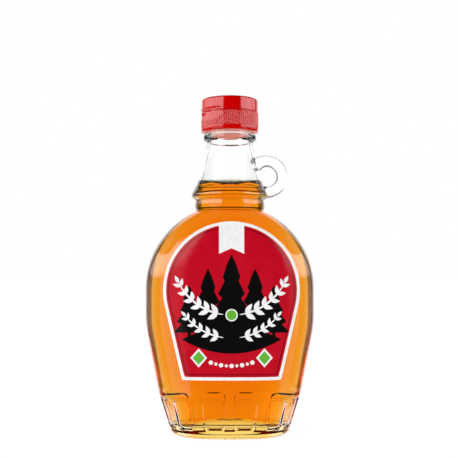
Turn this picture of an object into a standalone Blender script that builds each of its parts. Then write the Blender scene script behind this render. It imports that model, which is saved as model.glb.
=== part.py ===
"""A flat-sided glass flask of maple syrup.

The flask stands on its base at the origin, with its label on the -Y side and its finger loop on the
+X side. It holds syrup up to its neck and is closed by a flip-top screw cap.
All sizes are in metres.
"""

import math

import bmesh
import bpy
import numpy as np
from mathutils import Matrix, Vector

GAP = 0.0003  # between pieces that touch

# Body: a half-width that follows a circle, then a straight side that tapers to the ledge
BODY_RADIUS = 0.04435
BODY_CENTRE_Z = 0.076
SIDE_FOOT_Z = 0.063  # the side is upright from the circle's centre down to here
SIDE_BEND_RADIUS = 0.060
SIDE_TAPER = 0.195  # inwards for each metre down
LEDGE_TOP_Z = 0.0216
LEDGE_FOOT_Z = 0.0200
LEDGE_STEP = 0.0006
BASE_TAPER = 0.315
BASE_MIDDLE_Z = 0.0120
BODY_HALF_DEPTH = 0.0227
DEPTH_SHOULDER_Z = 0.092  # the broad faces bend back to the neck above here
DEPTH_SHOULDER_POWER = 2.6
DEPTH_TAPER = 0.012
BASE_DEPTH_TAPER = 0.06
FACE_FLATNESS = 3.3  # exponents of the oval section, 2 for an ellipse
END_FLATNESS = 2.1
ROUND = 2.0
FLAT_TOP_Z = 0.088  # the section is at its flattest below here
BODY_ROWS_Z = (LEDGE_TOP_Z, 0.0370)  # rows of the straight taper

# Foot
HEEL_RADIUS = 0.0040
FOOT_BAND = 0.0042  # flat ring that the flask stands on
PUNT_HEIGHT = 0.0013  # hollow under the base
PUNT_SLOPE = 0.0030

# Neck, by height and radius
NECK_FOOT_Z = 0.1167
NECK_FOOT_RADIUS = 0.0176
MOUTH_Z = 0.1730
MOUTH_CLEAR = 0.0020  # how far the hollow's cutter runs past the mouth
FINISH_RADIUS = 0.0125
BEAD_RADIUS = 0.0139
BEAD_TOP_Z = 0.1569
BEAD_FOOT_Z = 0.1538
BEAD_BEVEL = 0.0007
RINGS = (  # the two rings under the flare, upwards
    (0.1183, 0.0182),
    (0.1201, 0.0183),
    (0.1213, 0.0182),
    (0.1222, 0.0179),
    (0.1233, 0.0193),
    (0.1247, 0.0201),
    (0.1263, 0.0197),
    (0.1280, 0.0187),
)
FLARE = (
    (0.1312, 0.0172),
    (0.1354, 0.0157),
    (0.1420, 0.0140),
    (0.1480, 0.0127),
    (0.1530, 0.0121),
)

# Inside of the glass
WALL = 0.0026
BASE_WALL = 0.0046
FLOOR_Z = 0.0056
FLOOR_CORNER = 0.0080
BASE_WALL_FOOT_Z = 0.014  # the wall thins from here up
BASE_WALL_TOP_Z = 0.040
BORE = (
    (0.1220, 0.0160),
    (0.1290, 0.0155),
    (0.1354, 0.0139),
    (0.1420, 0.0122),
    (0.1500, 0.0107),
    (0.1570, 0.0098),
    (MOUTH_Z, 0.0096),
)
HOLLOW_ROWS_Z = (0.0216, 0.0300, 0.0430, 0.0540, SIDE_FOOT_Z)

# Panels pressed into the base, in quarters of the way round from the front's middle
PANELS = ((0.052, 0.292), (0.405, 0.620), (0.715, 0.950))
PANEL_FOOT_Z = 0.0054
PANEL_TOP_Z = 0.0199
PANEL_DEPTH = 0.0009
PANEL_CORNER = 0.0022
PANEL_CLEAR = 0.0020  # how far a panel's cutter stands out of the base

# Finger loop
LOOP_X = 0.0194
LOOP_Z = 0.1349
LOOP_RADIUS = 0.0082
LOOP_HALF_HEIGHT = 0.0026
LOOP_HALF_DEPTH = 0.0030
LOOP_HALF_TURN = math.radians(138)
LOOP_ROOT_START = 0.6  # share of each half's way where the loop starts to thicken
LOOP_ROOT_GROWTH = 0.4
WEB_HALF_THICKNESS = 0.0016
WEB_OUTLINE = (  # X and Z of the web over the loop's upper root
    (0.0115, 0.1516),
    (0.0115, 0.1420),
    (0.0190, 0.1440),
    (0.0190, 0.1457),
    (0.0163, 0.1470),
    (0.0143, 0.1492),
    (0.0126, 0.1518),
)

# Syrup
FILL_Z = 0.1323

# Cap
CAP_FOOT_Z = 0.1581
CAP_SPLIT_Z = 0.1683  # between the screwed skirt and the lid
CAP_TOP_Z = 0.1753
SKIRT_RADIUS = 0.0151
LID_RADIUS = 0.01485
CAP_BORE = 0.0134
CAP_EDGE = 0.0010
CAP_ROOF = 0.0020
SKIRT_EDGE = 0.0004
RIB_RUN_IN = 0.0003
SPLIT_DEPTH = 0.00035
SPLIT_HEIGHT = 0.0004
RIB_COUNT = 72
RIB_DEPTH = 0.0003
RIB_FOOT_Z = 0.1605
RIB_TOP_Z = 0.1679
SCOOP_TURN = math.radians(-55)  # from the front, towards -X
SCOOP_HALF_WIDTH = 0.0104
SCOOP_DROP = 0.0054
SCOOP_DEPTH = 0.0017
HINGE_HALF_WIDTH = 0.0042
HINGE_HEIGHT = 0.0036
HINGE_THICKNESS = 0.0014
HINGE_PROUD = 0.0004

# Label
LABEL_X = 0.0009
LABEL_TOP_Z = 0.1106
LABEL_FOOT_Z = 0.0307
LABEL_RADIUS = 0.0347
LABEL_FOOT_HALF_WIDTH = 0.0250
LABEL_THICKNESS = 0.00025
LABEL_TIP_HALF_WIDTH = 0.0025

# Steps of the meshes
COLUMNS = 52
BORE_COLUMNS = 36
QUARTER_STEPS = 240
SMOOTH = math.radians(35)  # edges that turn more than this stay sharp
CAP_SMOOTH = math.radians(25)
SHOULDER_STEPS = 9
HEEL_STEPS = 3
FLOOR_STEPS = 3
ROW_MARGIN = 0.001  # rows closer than this to the top are left out
LOOP_STEPS = 20
LOOP_SIDES = 10
PANEL_CORNER_STEPS = 3
PANEL_SIDE_STEPS = 3
LABEL_SIDE_ROWS = 6
LABEL_ARCH_ROWS = 13
LABEL_COLUMNS = 14


def remove_all():
    """Empties the scene."""
    for item in list(bpy.data.objects):
        bpy.data.objects.remove(item, do_unlink=True)


def material(name, colour, roughness, metallic=0.0, transmission=0.0, ior=1.5):
    """A Principled material."""
    made = bpy.data.materials.new(name)
    made.use_nodes = True
    shader = made.node_tree.nodes["Principled BSDF"]
    shader.inputs["Base Color"].default_value = (*colour, 1.0)
    shader.inputs["Roughness"].default_value = roughness
    shader.inputs["Metallic"].default_value = metallic
    shader.inputs["Transmission Weight"].default_value = transmission
    shader.inputs["IOR"].default_value = ior
    return made


def add_object(name, mesh_data, finish, smooth_angle=SMOOTH):
    """Turns a bmesh into a named object with a material, shaded smooth but for its sharp edges."""
    bmesh.ops.recalc_face_normals(mesh_data, faces=mesh_data.faces)
    mesh = bpy.data.meshes.new(name)
    mesh_data.to_mesh(mesh)
    mesh_data.free()
    mesh.materials.append(finish)
    mesh.shade_smooth()
    mesh.set_sharp_from_angle(angle=smooth_angle)
    made = bpy.data.objects.new(name, mesh)
    bpy.context.scene.collection.objects.link(made)
    return made


def combine(target, tool, operation):
    """Applies a Boolean to the target and removes the tool."""
    modifier = target.modifiers.new(operation.title(), "BOOLEAN")
    modifier.operation = operation
    modifier.solver = "EXACT"
    modifier.object = tool
    bpy.context.view_layer.objects.active = target
    bpy.ops.object.modifier_apply(modifier=modifier.name)
    bpy.data.objects.remove(tool, do_unlink=True)


def smooth(low, high, value):
    """0 below low, 1 above high and an eased blend between."""
    way = min(max((value - low) / (high - low), 0.0), 1.0)
    return way * way * (3 - 2 * way)


def through(points, height):
    """Reads a smooth curve through (height, value) points that are ordered by height."""
    heights = [p[0] for p in points]
    values = [p[1] for p in points]
    last = len(points) - 1
    if height <= heights[0]:
        return values[0]
    if height >= heights[last]:
        return values[last]
    spans = [heights[i + 1] - heights[i] for i in range(last)]
    steps = [(values[i + 1] - values[i]) / spans[i] for i in range(last)]
    slopes = [steps[0]]
    for before, after in zip(steps, steps[1:]):
        slopes.append(2 * before * after / (before + after) if before * after > 0 else 0.0)
    slopes.append(steps[-1])
    i = max(k for k in range(last) if heights[k] <= height)
    t = (height - heights[i]) / spans[i]
    return (
        (2 * t**3 - 3 * t**2 + 1) * values[i]
        + (t**3 - 2 * t**2 + t) * spans[i] * slopes[i]
        + (3 * t**2 - 2 * t**3) * values[i + 1]
        + (t**3 - t**2) * spans[i] * slopes[i + 1]
    )


def side_half_width(z, inset=0.0):
    """The body's half-width, measured inset inside the outer face."""
    bend = math.atan(SIDE_TAPER)
    radius = BODY_RADIUS - inset
    if z >= BODY_CENTRE_Z:
        return math.sqrt(max(radius**2 - (z - BODY_CENTRE_Z) ** 2, 0.0))
    if z >= SIDE_FOOT_Z:
        return radius
    bend_foot = SIDE_FOOT_Z - SIDE_BEND_RADIUS * math.sin(bend)
    if z >= bend_foot:
        drop = SIDE_FOOT_Z - z
        return radius - SIDE_BEND_RADIUS + math.sqrt(SIDE_BEND_RADIUS**2 - drop**2)
    at_foot = radius - SIDE_BEND_RADIUS * (1 - math.cos(bend))
    return at_foot - SIDE_TAPER * (bend_foot - z)


def side_half_depth(z, inset=0.0):
    """The body's half-depth, which bends back to the neck over its shoulder."""
    foot = NECK_FOOT_RADIUS - inset
    full = BODY_HALF_DEPTH - inset
    if z <= DEPTH_SHOULDER_Z:
        return full - DEPTH_TAPER * (DEPTH_SHOULDER_Z - z)
    way = min((z - DEPTH_SHOULDER_Z) / (NECK_FOOT_Z - inset - DEPTH_SHOULDER_Z), 1.0)
    return foot + (full - foot) * math.sqrt(max(1 - way**DEPTH_SHOULDER_POWER, 0.0))


def flatness(z, top=NECK_FOOT_Z):
    """The section's exponents: round at the neck, flat-sided in the body."""
    way = 1 - smooth(FLAT_TOP_Z, top, z)
    return ROUND + (FACE_FLATNESS - ROUND) * way, ROUND + (END_FLATNESS - ROUND) * way


def quarter(half_width, half_depth, flat):
    """A quarter of an oval section, from its front's middle to its end, by share of its length."""
    turn = np.linspace(0.0, math.pi / 2, QUARTER_STEPS)
    across = half_width * np.sin(turn) ** (2 / flat[0])
    deep = half_depth * np.maximum(np.cos(turn), 0.0) ** (2 / flat[1])
    way = np.concatenate(([0.0], np.cumsum(np.hypot(np.diff(across), np.diff(deep)))))
    return way / way[-1], across, deep, way[-1]


def section_points(half_width, half_depth, flat, places):
    """Points of a section. A place counts quarters round from the front's middle, +X side first."""
    way, across, deep, _ = quarter(half_width, half_depth, flat)
    points = []
    for place in places:
        turn = place % 4
        share = turn % 2 if turn % 2 <= 1 else 2 - turn % 2
        x = float(np.interp(share, way, across))
        y = float(np.interp(share, way, deep))
        points.append((x if turn <= 2 else -x, y if 1 < turn < 3 else -y))
    return points


def add_ring(mesh_data, z, half_width, half_depth, flat, columns):
    """One ring of vertices at a height."""
    places = [4 * i / columns for i in range(columns)]
    return [
        mesh_data.verts.new((x, y, z))
        for x, y in section_points(half_width, half_depth, flat, places)
    ]


def skin(mesh_data, rings):
    """Joins rings into a tube and fills its two ends."""
    for lower, upper in zip(rings, rings[1:]):
        count = len(lower)
        for i in range(count):
            j = (i + 1) % count
            mesh_data.faces.new((lower[i], lower[j], upper[j], upper[i]))
    fill(mesh_data, rings[0])
    fill(mesh_data, rings[-1])


def fill(mesh_data, ring):
    """Fills a ring with triangles round a middle vertex."""
    hub = mesh_data.verts.new(sum((v.co for v in ring), Vector()) / len(ring))
    for i, vertex in enumerate(ring):
        mesh_data.faces.new((vertex, ring[(i + 1) % len(ring)], hub))


def outer_rows():
    """Heights and half-sizes of the glass's outer face, from the foot to the mouth."""
    width, depth = base_size(HEEL_RADIUS)
    flat = flatness(LEDGE_TOP_Z)
    foot = [(PUNT_HEIGHT, HEEL_RADIUS + FOOT_BAND + PUNT_SLOPE), (0.0, HEEL_RADIUS + FOOT_BAND)]
    for i in range(HEEL_STEPS + 1):
        turn = math.pi / 2 * i / HEEL_STEPS
        foot.append((HEEL_RADIUS * (1 - math.cos(turn)), HEEL_RADIUS * (1 - math.sin(turn))))
    rows = [(z, width - inwards, depth - inwards, flat) for z, inwards in foot]
    rows += [(z, *base_size(z), flat) for z in (BASE_MIDDLE_Z, LEDGE_FOOT_Z)]
    bend_foot = SIDE_FOOT_Z - SIDE_BEND_RADIUS * math.sin(math.atan(SIDE_TAPER))
    bend_middle = (SIDE_FOOT_Z + bend_foot) / 2
    heights = [*BODY_ROWS_Z, bend_foot, bend_middle, SIDE_FOOT_Z]
    start = math.asin(NECK_FOOT_RADIUS / BODY_RADIUS)
    for i in range(SHOULDER_STEPS + 1):
        turn = math.pi / 2 + (start - math.pi / 2) * i / SHOULDER_STEPS
        heights.append(BODY_CENTRE_Z + BODY_RADIUS * math.cos(turn))
    rows += [(z, side_half_width(z), side_half_depth(z), flatness(z)) for z in heights]
    rows[-1] = (NECK_FOOT_Z, NECK_FOOT_RADIUS, NECK_FOOT_RADIUS, (ROUND, ROUND))
    return rows + [(z, r, r, (ROUND, ROUND)) for z, r in neck_rows()]


def neck_rows():
    """Heights and radii of the neck's outer face above the body, upwards."""
    bead = [
        (BEAD_FOOT_Z - BEAD_BEVEL / 2, FLARE[-1][1] + BEAD_BEVEL / 4),
        (BEAD_FOOT_Z, BEAD_RADIUS - BEAD_BEVEL),
        (BEAD_FOOT_Z + BEAD_BEVEL, BEAD_RADIUS),
        (BEAD_TOP_Z - BEAD_BEVEL, BEAD_RADIUS),
        (BEAD_TOP_Z, BEAD_RADIUS - BEAD_BEVEL),
        (BEAD_TOP_Z + BEAD_BEVEL / 4, FINISH_RADIUS),
    ]
    mouth = [(MOUTH_Z - BEAD_BEVEL, FINISH_RADIUS), (MOUTH_Z, FINISH_RADIUS - BEAD_BEVEL)]
    return [*RINGS, *FLARE, *bead, *mouth]


def neck_join():
    """Height where the hollow's shoulder meets the bore of the neck."""
    return BODY_CENTRE_Z + math.sqrt((BODY_RADIUS - WALL) ** 2 - BORE[0][1] ** 2)


def inner_size(z):
    """Half-width, half-depth and section of the hollow at a height, above its floor's corner."""
    if z > neck_join():
        radius = through(BORE, z)
        return radius, radius, (ROUND, ROUND)
    wall = BASE_WALL + (WALL - BASE_WALL) * smooth(BASE_WALL_FOOT_Z, BASE_WALL_TOP_Z, z)
    drop = max(LEDGE_FOOT_Z - z, 0.0)
    width = side_half_width(z + drop, wall) - BASE_TAPER * drop
    depth = side_half_depth(z + drop, wall) - BASE_DEPTH_TAPER * drop
    return width, max(depth, BORE[0][1]), flatness(z, neck_join())


def inner_rows(clearance, top_z):
    """Rows of the hollow's face, or of what fills it when a clearance is given."""
    rows = []
    corner_z = FLOOR_Z + FLOOR_CORNER
    width, depth, flat = inner_size(corner_z)
    for i in range(FLOOR_STEPS + 1):
        turn = math.pi / 2 * i / FLOOR_STEPS
        back = FLOOR_CORNER * (1 - math.sin(turn))
        z = corner_z - (FLOOR_CORNER - clearance) * math.cos(turn)
        rows.append((z, width - back, depth - back, flat))
    heights = list(HOLLOW_ROWS_Z)
    radius = BODY_RADIUS - WALL
    start = math.asin(BORE[0][1] / radius)
    for i in range(SHOULDER_STEPS):
        turn = math.pi / 2 + (start - math.pi / 2) * i / (SHOULDER_STEPS - 1)
        heights.append(BODY_CENTRE_Z + radius * math.cos(turn))
    heights += [z for z, _ in BORE]
    rows += [(z, *inner_size(z)) for z in heights if z < top_z - ROW_MARGIN]
    rows.append((top_z, *inner_size(top_z)))
    return [(z, w - clearance, d - clearance, flat) for z, w, d, flat in rows]


def base_size(z):
    """Half-width and half-depth of the tapering base at a height under the ledge."""
    drop = LEDGE_FOOT_Z - z
    width = side_half_width(LEDGE_TOP_Z) - LEDGE_STEP - BASE_TAPER * drop
    depth = side_half_depth(LEDGE_TOP_Z) - LEDGE_STEP - BASE_DEPTH_TAPER * drop
    return width, depth


def panel_outline(start, end):
    """Places and heights round one panel: four rounded corners, with points along its long sides."""
    width, depth = base_size((PANEL_FOOT_Z + PANEL_TOP_Z) / 2)
    corner = PANEL_CORNER / quarter(width, depth, flatness(LEDGE_TOP_Z))[3]
    right, left = end - corner, start + corner
    top, foot = PANEL_TOP_Z - PANEL_CORNER, PANEL_FOOT_Z + PANEL_CORNER
    outline = []
    for k, (place, z) in enumerate(((right, foot), (right, top), (left, top), (left, foot))):
        for i in range(PANEL_CORNER_STEPS + 1):
            turn = math.pi / 2 * (k - 1 + i / PANEL_CORNER_STEPS)
            outline.append((place + corner * math.cos(turn), z + PANEL_CORNER * math.sin(turn)))
        if k in (1, 3):
            far = left if k == 1 else right
            for i in range(1, PANEL_SIDE_STEPS):
                outline.append((place + (far - place) * i / PANEL_SIDE_STEPS, outline[-1][1]))
    return outline


def panel_cutter(start, end):
    """A rounded block that presses one panel into the base, between two places round it."""
    outline = panel_outline(start, end)
    middle = ((start + end) / 2, (PANEL_FOOT_Z + PANEL_TOP_Z) / 2)
    mesh_data = bmesh.new()
    rings = []
    hubs = []
    for stand_off in (-PANEL_DEPTH, PANEL_CLEAR):
        ring = []
        for place, z in outline + [middle]:
            width, depth = base_size(z)
            grown = (width + stand_off, depth + stand_off)
            x, y = section_points(*grown, flatness(LEDGE_TOP_Z), (place,))[0]
            ring.append(mesh_data.verts.new((x, y, z)))
        hubs.append(ring.pop())
        rings.append(ring)
    for i in range(len(outline)):
        j = (i + 1) % len(outline)
        mesh_data.faces.new((rings[0][i], rings[0][j], rings[1][j], rings[1][i]))
        for ring, hub in zip(rings, hubs):
            mesh_data.faces.new((ring[i], ring[j], hub))
    bmesh.ops.triangulate(mesh_data, faces=mesh_data.faces)
    return mesh_data


def loop_path():
    """Middle line of the finger loop in the XZ plane, with its growth towards the roots."""
    path = []
    for i in range(LOOP_STEPS + 1):
        way = 2 * i / LOOP_STEPS - 1
        turn = -LOOP_HALF_TURN * way
        growth = 1.0 + LOOP_ROOT_GROWTH * max(abs(way) - LOOP_ROOT_START, 0.0)
        x = LOOP_X + LOOP_RADIUS * math.cos(turn)
        z = LOOP_Z + LOOP_RADIUS * math.sin(turn)
        path.append((x, z, growth))
    return path


def finger_loop():
    """The closed tube of the finger loop."""
    path = loop_path()
    mesh_data = bmesh.new()
    rings = []
    for i, (x, z, growth) in enumerate(path):
        before = path[max(i - 1, 0)]
        after = path[min(i + 1, len(path) - 1)]
        ahead = Vector((after[0] - before[0], 0.0, after[1] - before[1])).normalized()
        outwards = ahead.cross(Vector((0.0, 1.0, 0.0)))
        ring = []
        for k in range(LOOP_SIDES):
            turn = 2 * math.pi * k / LOOP_SIDES
            offset = outwards * (LOOP_HALF_HEIGHT * growth * math.cos(turn))
            offset.y = LOOP_HALF_DEPTH * growth * math.sin(turn)
            ring.append(mesh_data.verts.new(Vector((x, 0.0, z)) + offset))
        rings.append(ring)
    skin(mesh_data, rings)
    return mesh_data


def loop_web():
    """The thin web that runs from the neck down onto the loop's upper root."""
    mesh_data = bmesh.new()
    corners = [mesh_data.verts.new((x, -WEB_HALF_THICKNESS, z)) for x, z in WEB_OUTLINE]
    face = mesh_data.faces.new(corners)
    grown = bmesh.ops.extrude_face_region(mesh_data, geom=[face])
    moved = [item for item in grown["geom"] if isinstance(item, bmesh.types.BMVert)]
    bmesh.ops.translate(mesh_data, vec=(0.0, 2 * WEB_HALF_THICKNESS, 0.0), verts=moved)
    return mesh_data


def make_bottle():
    """The glass: body, neck, rings, finger loop, pressed panels and the hollow."""
    glass = material("glass", (0.93, 0.96, 0.95), 0.02, transmission=1.0, ior=1.52)
    outer = bmesh.new()
    skin(outer, [add_ring(outer, *row, COLUMNS) for row in outer_rows()])
    bottle = add_object("bottle", outer, glass)
    combine(bottle, add_object("loop", finger_loop(), glass), "UNION")
    combine(bottle, add_object("web", loop_web(), glass), "UNION")
    for quadrant in range(4):
        for start, end in PANELS:
            if quadrant % 2:
                start, end = 1 - end, 1 - start
            cutter = add_object("panel", panel_cutter(quadrant + start, quadrant + end), glass)
            combine(bottle, cutter, "DIFFERENCE")
    hollow = bmesh.new()
    rows = inner_rows(0.0, MOUTH_Z)
    rows.append((MOUTH_Z + MOUTH_CLEAR, *rows[-1][1:]))
    skin(hollow, [add_ring(hollow, *row, BORE_COLUMNS) for row in rows])
    combine(bottle, add_object("hollow", hollow, glass), "DIFFERENCE")
    bottle.data.set_sharp_from_angle(angle=SMOOTH)


def make_syrup():
    """The syrup, up to its level in the neck."""
    amber = material("syrup", (0.80, 0.28, 0.02), 0.05, transmission=0.8, ior=1.47)
    mesh_data = bmesh.new()
    skin(mesh_data, [add_ring(mesh_data, *row, BORE_COLUMNS) for row in inner_rows(GAP, FILL_Z)])
    add_object("syrup", mesh_data, amber)


def circle(mesh_data, radius, z, count, step=0.0):
    """A ring of vertices. A step makes every second one lie that much further in."""
    ring = []
    for i in range(count):
        turn = 2 * math.pi * i / count
        r = radius - (step if i % 2 else 0.0)
        ring.append(mesh_data.verts.new((r * math.sin(turn), -r * math.cos(turn), z)))
    return ring


def ring_edges(mesh_data, ring):
    """The edges of a closed ring, made where they are missing."""
    edges = []
    for i, vertex in enumerate(ring):
        after = ring[(i + 1) % len(ring)]
        edges.append(mesh_data.edges.get((vertex, after)) or mesh_data.edges.new((vertex, after)))
    return edges


def scoop_cutter():
    """Half of an ellipsoid under the lid's edge, where a thumb lifts the lid."""
    mesh_data = bmesh.new()
    bmesh.ops.create_uvsphere(mesh_data, u_segments=20, v_segments=12, radius=1.0)
    cut = bmesh.ops.bisect_plane(
        mesh_data,
        geom=mesh_data.verts[:] + mesh_data.edges[:] + mesh_data.faces[:],
        plane_co=(0.0, 0.0, 0.0),
        plane_no=(0.0, 0.0, 1.0),
        clear_outer=True,
    )
    edges = [item for item in cut["geom_cut"] if isinstance(item, bmesh.types.BMEdge)]
    bmesh.ops.contextual_create(mesh_data, geom=edges)
    half_depth = SCOOP_HALF_WIDTH**2 / (2 * SKIRT_RADIUS) + SCOOP_DEPTH
    size = Matrix.Diagonal((SCOOP_HALF_WIDTH, half_depth, SCOOP_DROP, 1.0))
    centre_y = SCOOP_DEPTH - SKIRT_RADIUS - half_depth
    place = Matrix.Translation((0.0, centre_y, CAP_SPLIT_Z - SPLIT_HEIGHT / 4))
    turn = Matrix.Rotation(SCOOP_TURN, 4, "Z")
    bmesh.ops.transform(mesh_data, matrix=turn @ place @ size, verts=mesh_data.verts)
    return mesh_data


def hinge_pad():
    """The short strap that joins the lid to the skirt, opposite the scoop."""
    mesh_data = bmesh.new()
    bmesh.ops.create_cube(mesh_data, size=1.0)
    size = Matrix.Diagonal((2 * HINGE_HALF_WIDTH, HINGE_THICKNESS, HINGE_HEIGHT, 1.0))
    outer_y = SKIRT_RADIUS + HINGE_PROUD
    place = Matrix.Translation((0.0, outer_y - HINGE_THICKNESS / 2, CAP_SPLIT_Z))
    turn = Matrix.Rotation(SCOOP_TURN, 4, "Z")
    bmesh.ops.transform(mesh_data, matrix=turn @ place @ size, verts=mesh_data.verts)
    return mesh_data


def make_cap():
    """The flip-top screw cap: ribbed skirt, plain lid, thumb scoop and hinge strap."""
    red = material("cap_red", (0.62, 0.01, 0.02), 0.25)
    mesh_data = bmesh.new()
    fine = 2 * RIB_COUNT
    outline = [
        (CAP_BORE, CAP_TOP_Z - CAP_ROOF, RIB_COUNT, 0.0),
        (CAP_BORE, CAP_FOOT_Z, RIB_COUNT, 0.0),
        (SKIRT_RADIUS - SKIRT_EDGE, CAP_FOOT_Z, RIB_COUNT, 0.0),
        (SKIRT_RADIUS, CAP_FOOT_Z + SKIRT_EDGE, RIB_COUNT, 0.0),
        (SKIRT_RADIUS, RIB_FOOT_Z, fine, 0.0),
        (SKIRT_RADIUS, RIB_FOOT_Z + RIB_RUN_IN, fine, RIB_DEPTH),
        (SKIRT_RADIUS, RIB_TOP_Z - RIB_RUN_IN, fine, RIB_DEPTH),
        (SKIRT_RADIUS, RIB_TOP_Z, fine, 0.0),
        (LID_RADIUS - SPLIT_DEPTH, CAP_SPLIT_Z, RIB_COUNT, 0.0),
        (LID_RADIUS, CAP_SPLIT_Z + SPLIT_HEIGHT, RIB_COUNT, 0.0),
        (LID_RADIUS, CAP_TOP_Z - CAP_EDGE, RIB_COUNT, 0.0),
        (LID_RADIUS - 0.3 * CAP_EDGE, CAP_TOP_Z - 0.3 * CAP_EDGE, RIB_COUNT, 0.0),
        (LID_RADIUS - CAP_EDGE, CAP_TOP_Z, RIB_COUNT, 0.0),
    ]
    rings = [circle(mesh_data, radius, z, count, step) for radius, z, count, step in outline]
    for lower, upper in zip(rings, rings[1:]):
        edges = ring_edges(mesh_data, lower) + ring_edges(mesh_data, upper)
        bmesh.ops.bridge_loops(mesh_data, edges=edges)
    fill(mesh_data, rings[0])
    fill(mesh_data, rings[-1])
    cap = add_object("cap", mesh_data, red, CAP_SMOOTH)
    combine(cap, add_object("scoop", scoop_cutter(), red), "DIFFERENCE")
    combine(cap, add_object("hinge", hinge_pad(), red), "UNION")
    cap.data.set_sharp_from_angle(angle=CAP_SMOOTH)


def label_side():
    """Slope of the label's straight sides, which touch its arch, and the height where they do."""
    drop = LABEL_TOP_Z - LABEL_RADIUS - LABEL_FOOT_Z
    reach = math.hypot(drop, LABEL_FOOT_HALF_WIDTH)
    lean = math.asin(LABEL_RADIUS / reach) - math.atan2(LABEL_FOOT_HALF_WIDTH, drop)
    return math.tan(lean), LABEL_TOP_Z - LABEL_RADIUS * (1 + math.sin(lean))


def label_half_width(z):
    """Half the label's width: an arch above straight sides that run in to the foot."""
    slope, touch_z = label_side()
    if z < touch_z:
        return LABEL_FOOT_HALF_WIDTH + slope * (z - LABEL_FOOT_Z)
    return math.sqrt(max(LABEL_RADIUS**2 - (z - LABEL_TOP_Z + LABEL_RADIUS) ** 2, 0.0))


def face_y(x, z, stand_off):
    """How far forward the body's front is at a place, plus a stand-off."""
    width = side_half_width(z) + stand_off
    depth = side_half_depth(z) + stand_off
    flat = flatness(z)
    return -depth * (1 - min(abs(x) / width, 1.0) ** flat[0]) ** (1 / flat[1])


def label_heights():
    """Heights of the label's rows, closer together round its arch."""
    touch_z = label_side()[1]
    centre_z = LABEL_TOP_Z - LABEL_RADIUS
    step = (touch_z - LABEL_FOOT_Z) / LABEL_SIDE_ROWS
    heights = [LABEL_FOOT_Z + step * i for i in range(LABEL_SIDE_ROWS)]
    first = math.asin((touch_z - centre_z) / LABEL_RADIUS)
    last = math.acos(LABEL_TIP_HALF_WIDTH / LABEL_RADIUS)
    for i in range(LABEL_ARCH_ROWS + 1):
        turn = first + (last - first) * i / LABEL_ARCH_ROWS
        heights.append(centre_z + LABEL_RADIUS * math.sin(turn))
    return heights


def make_label():
    """The front label, a thin sheet that follows the glass."""
    paper = material("label", (0.55, 0.02, 0.05), 0.5)
    mesh_data = bmesh.new()
    sheets = []
    for stand_off in (GAP, GAP + LABEL_THICKNESS):
        sheet = []
        for z in label_heights():
            half = label_half_width(z)
            shares = [2 * i / LABEL_COLUMNS - 1 for i in range(LABEL_COLUMNS + 1)]
            across = [LABEL_X + half * share for share in shares]
            sheet.append([mesh_data.verts.new((x, face_y(x, z, stand_off), z)) for x in across])
        sheets.append(sheet)
    for sheet in sheets:
        for lower, upper in zip(sheet, sheet[1:]):
            for i in range(LABEL_COLUMNS):
                mesh_data.faces.new((lower[i], lower[i + 1], upper[i + 1], upper[i]))
    rims = []
    for sheet in sheets:
        left = [row[0] for row in sheet[1:-1]]
        right = [row[-1] for row in sheet[1:-1]]
        rims.append(sheet[0] + right + sheet[-1][::-1] + left[::-1])
    for i in range(len(rims[0])):
        j = (i + 1) % len(rims[0])
        mesh_data.faces.new((rims[0][i], rims[0][j], rims[1][j], rims[1][i]))
    bmesh.ops.triangulate(mesh_data, faces=mesh_data.faces)
    add_object("label", mesh_data, paper)


remove_all()
make_bottle()
make_syrup()
make_cap()
make_label()
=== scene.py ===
"""Looks of a glass flask of maple syrup: glass, syrup, flip-top cap, printed label and a plain studio.

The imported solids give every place. All sizes are in metres, +Z is up and the label faces -Y.
"""

import math

import bmesh
import bpy
import numpy as np
from bpy.props import FloatProperty, FloatVectorProperty, IntProperty, PointerProperty
from mathutils import Matrix, Vector
from mathutils.geometry import delaunay_2d_cdt


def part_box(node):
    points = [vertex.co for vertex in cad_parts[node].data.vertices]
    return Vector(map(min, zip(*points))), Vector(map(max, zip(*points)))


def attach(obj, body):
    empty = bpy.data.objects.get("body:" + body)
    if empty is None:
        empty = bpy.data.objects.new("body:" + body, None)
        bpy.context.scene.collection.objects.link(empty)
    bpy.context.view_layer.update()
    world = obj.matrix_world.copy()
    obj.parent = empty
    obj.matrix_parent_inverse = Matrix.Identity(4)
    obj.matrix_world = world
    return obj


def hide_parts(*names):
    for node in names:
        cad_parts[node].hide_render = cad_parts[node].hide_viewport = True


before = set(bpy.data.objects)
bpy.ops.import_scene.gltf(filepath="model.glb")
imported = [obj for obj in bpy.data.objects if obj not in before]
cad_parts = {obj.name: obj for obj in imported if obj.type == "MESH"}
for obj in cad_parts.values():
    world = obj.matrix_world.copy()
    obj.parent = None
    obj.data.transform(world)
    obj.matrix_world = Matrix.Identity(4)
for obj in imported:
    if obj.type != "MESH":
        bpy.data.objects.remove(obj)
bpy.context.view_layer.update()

bl_info = {
    "name": "Syrup flask",
    "version": (1, 0, 0),
    "blender": (4, 5, 0),
    "location": "3D View > Sidebar > Flask",
    "description": "Builds a glass flask of syrup with its cap, its label and a plain studio",
    "category": "Add Mesh",
}

BODY = "root"
PHOTO_SIZE = 458  # pixels across the photo

# Body of the flask, as in the solids
BODY_RADIUS = -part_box("bottle")[0].x
BODY_CENTRE_Z = 0.076
SIDE_FOOT_Z = 0.063
SIDE_BEND_RADIUS = 0.060
SIDE_TAPER = 0.195
LEDGE_TOP_Z = 0.0216
LEDGE_FOOT_Z = 0.0200
LEDGE_STEP = 0.0006
BASE_TAPER = 0.315
BODY_HALF_DEPTH = 0.0227
DEPTH_SHOULDER_Z = 0.092
DEPTH_SHOULDER_POWER = 2.6
DEPTH_TAPER = 0.012
BASE_DEPTH_TAPER = 0.06
FACE_FLATNESS = 3.3
END_FLATNESS = 2.1
ROUND = 2.0
FLAT_TOP_Z = 0.088

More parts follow.
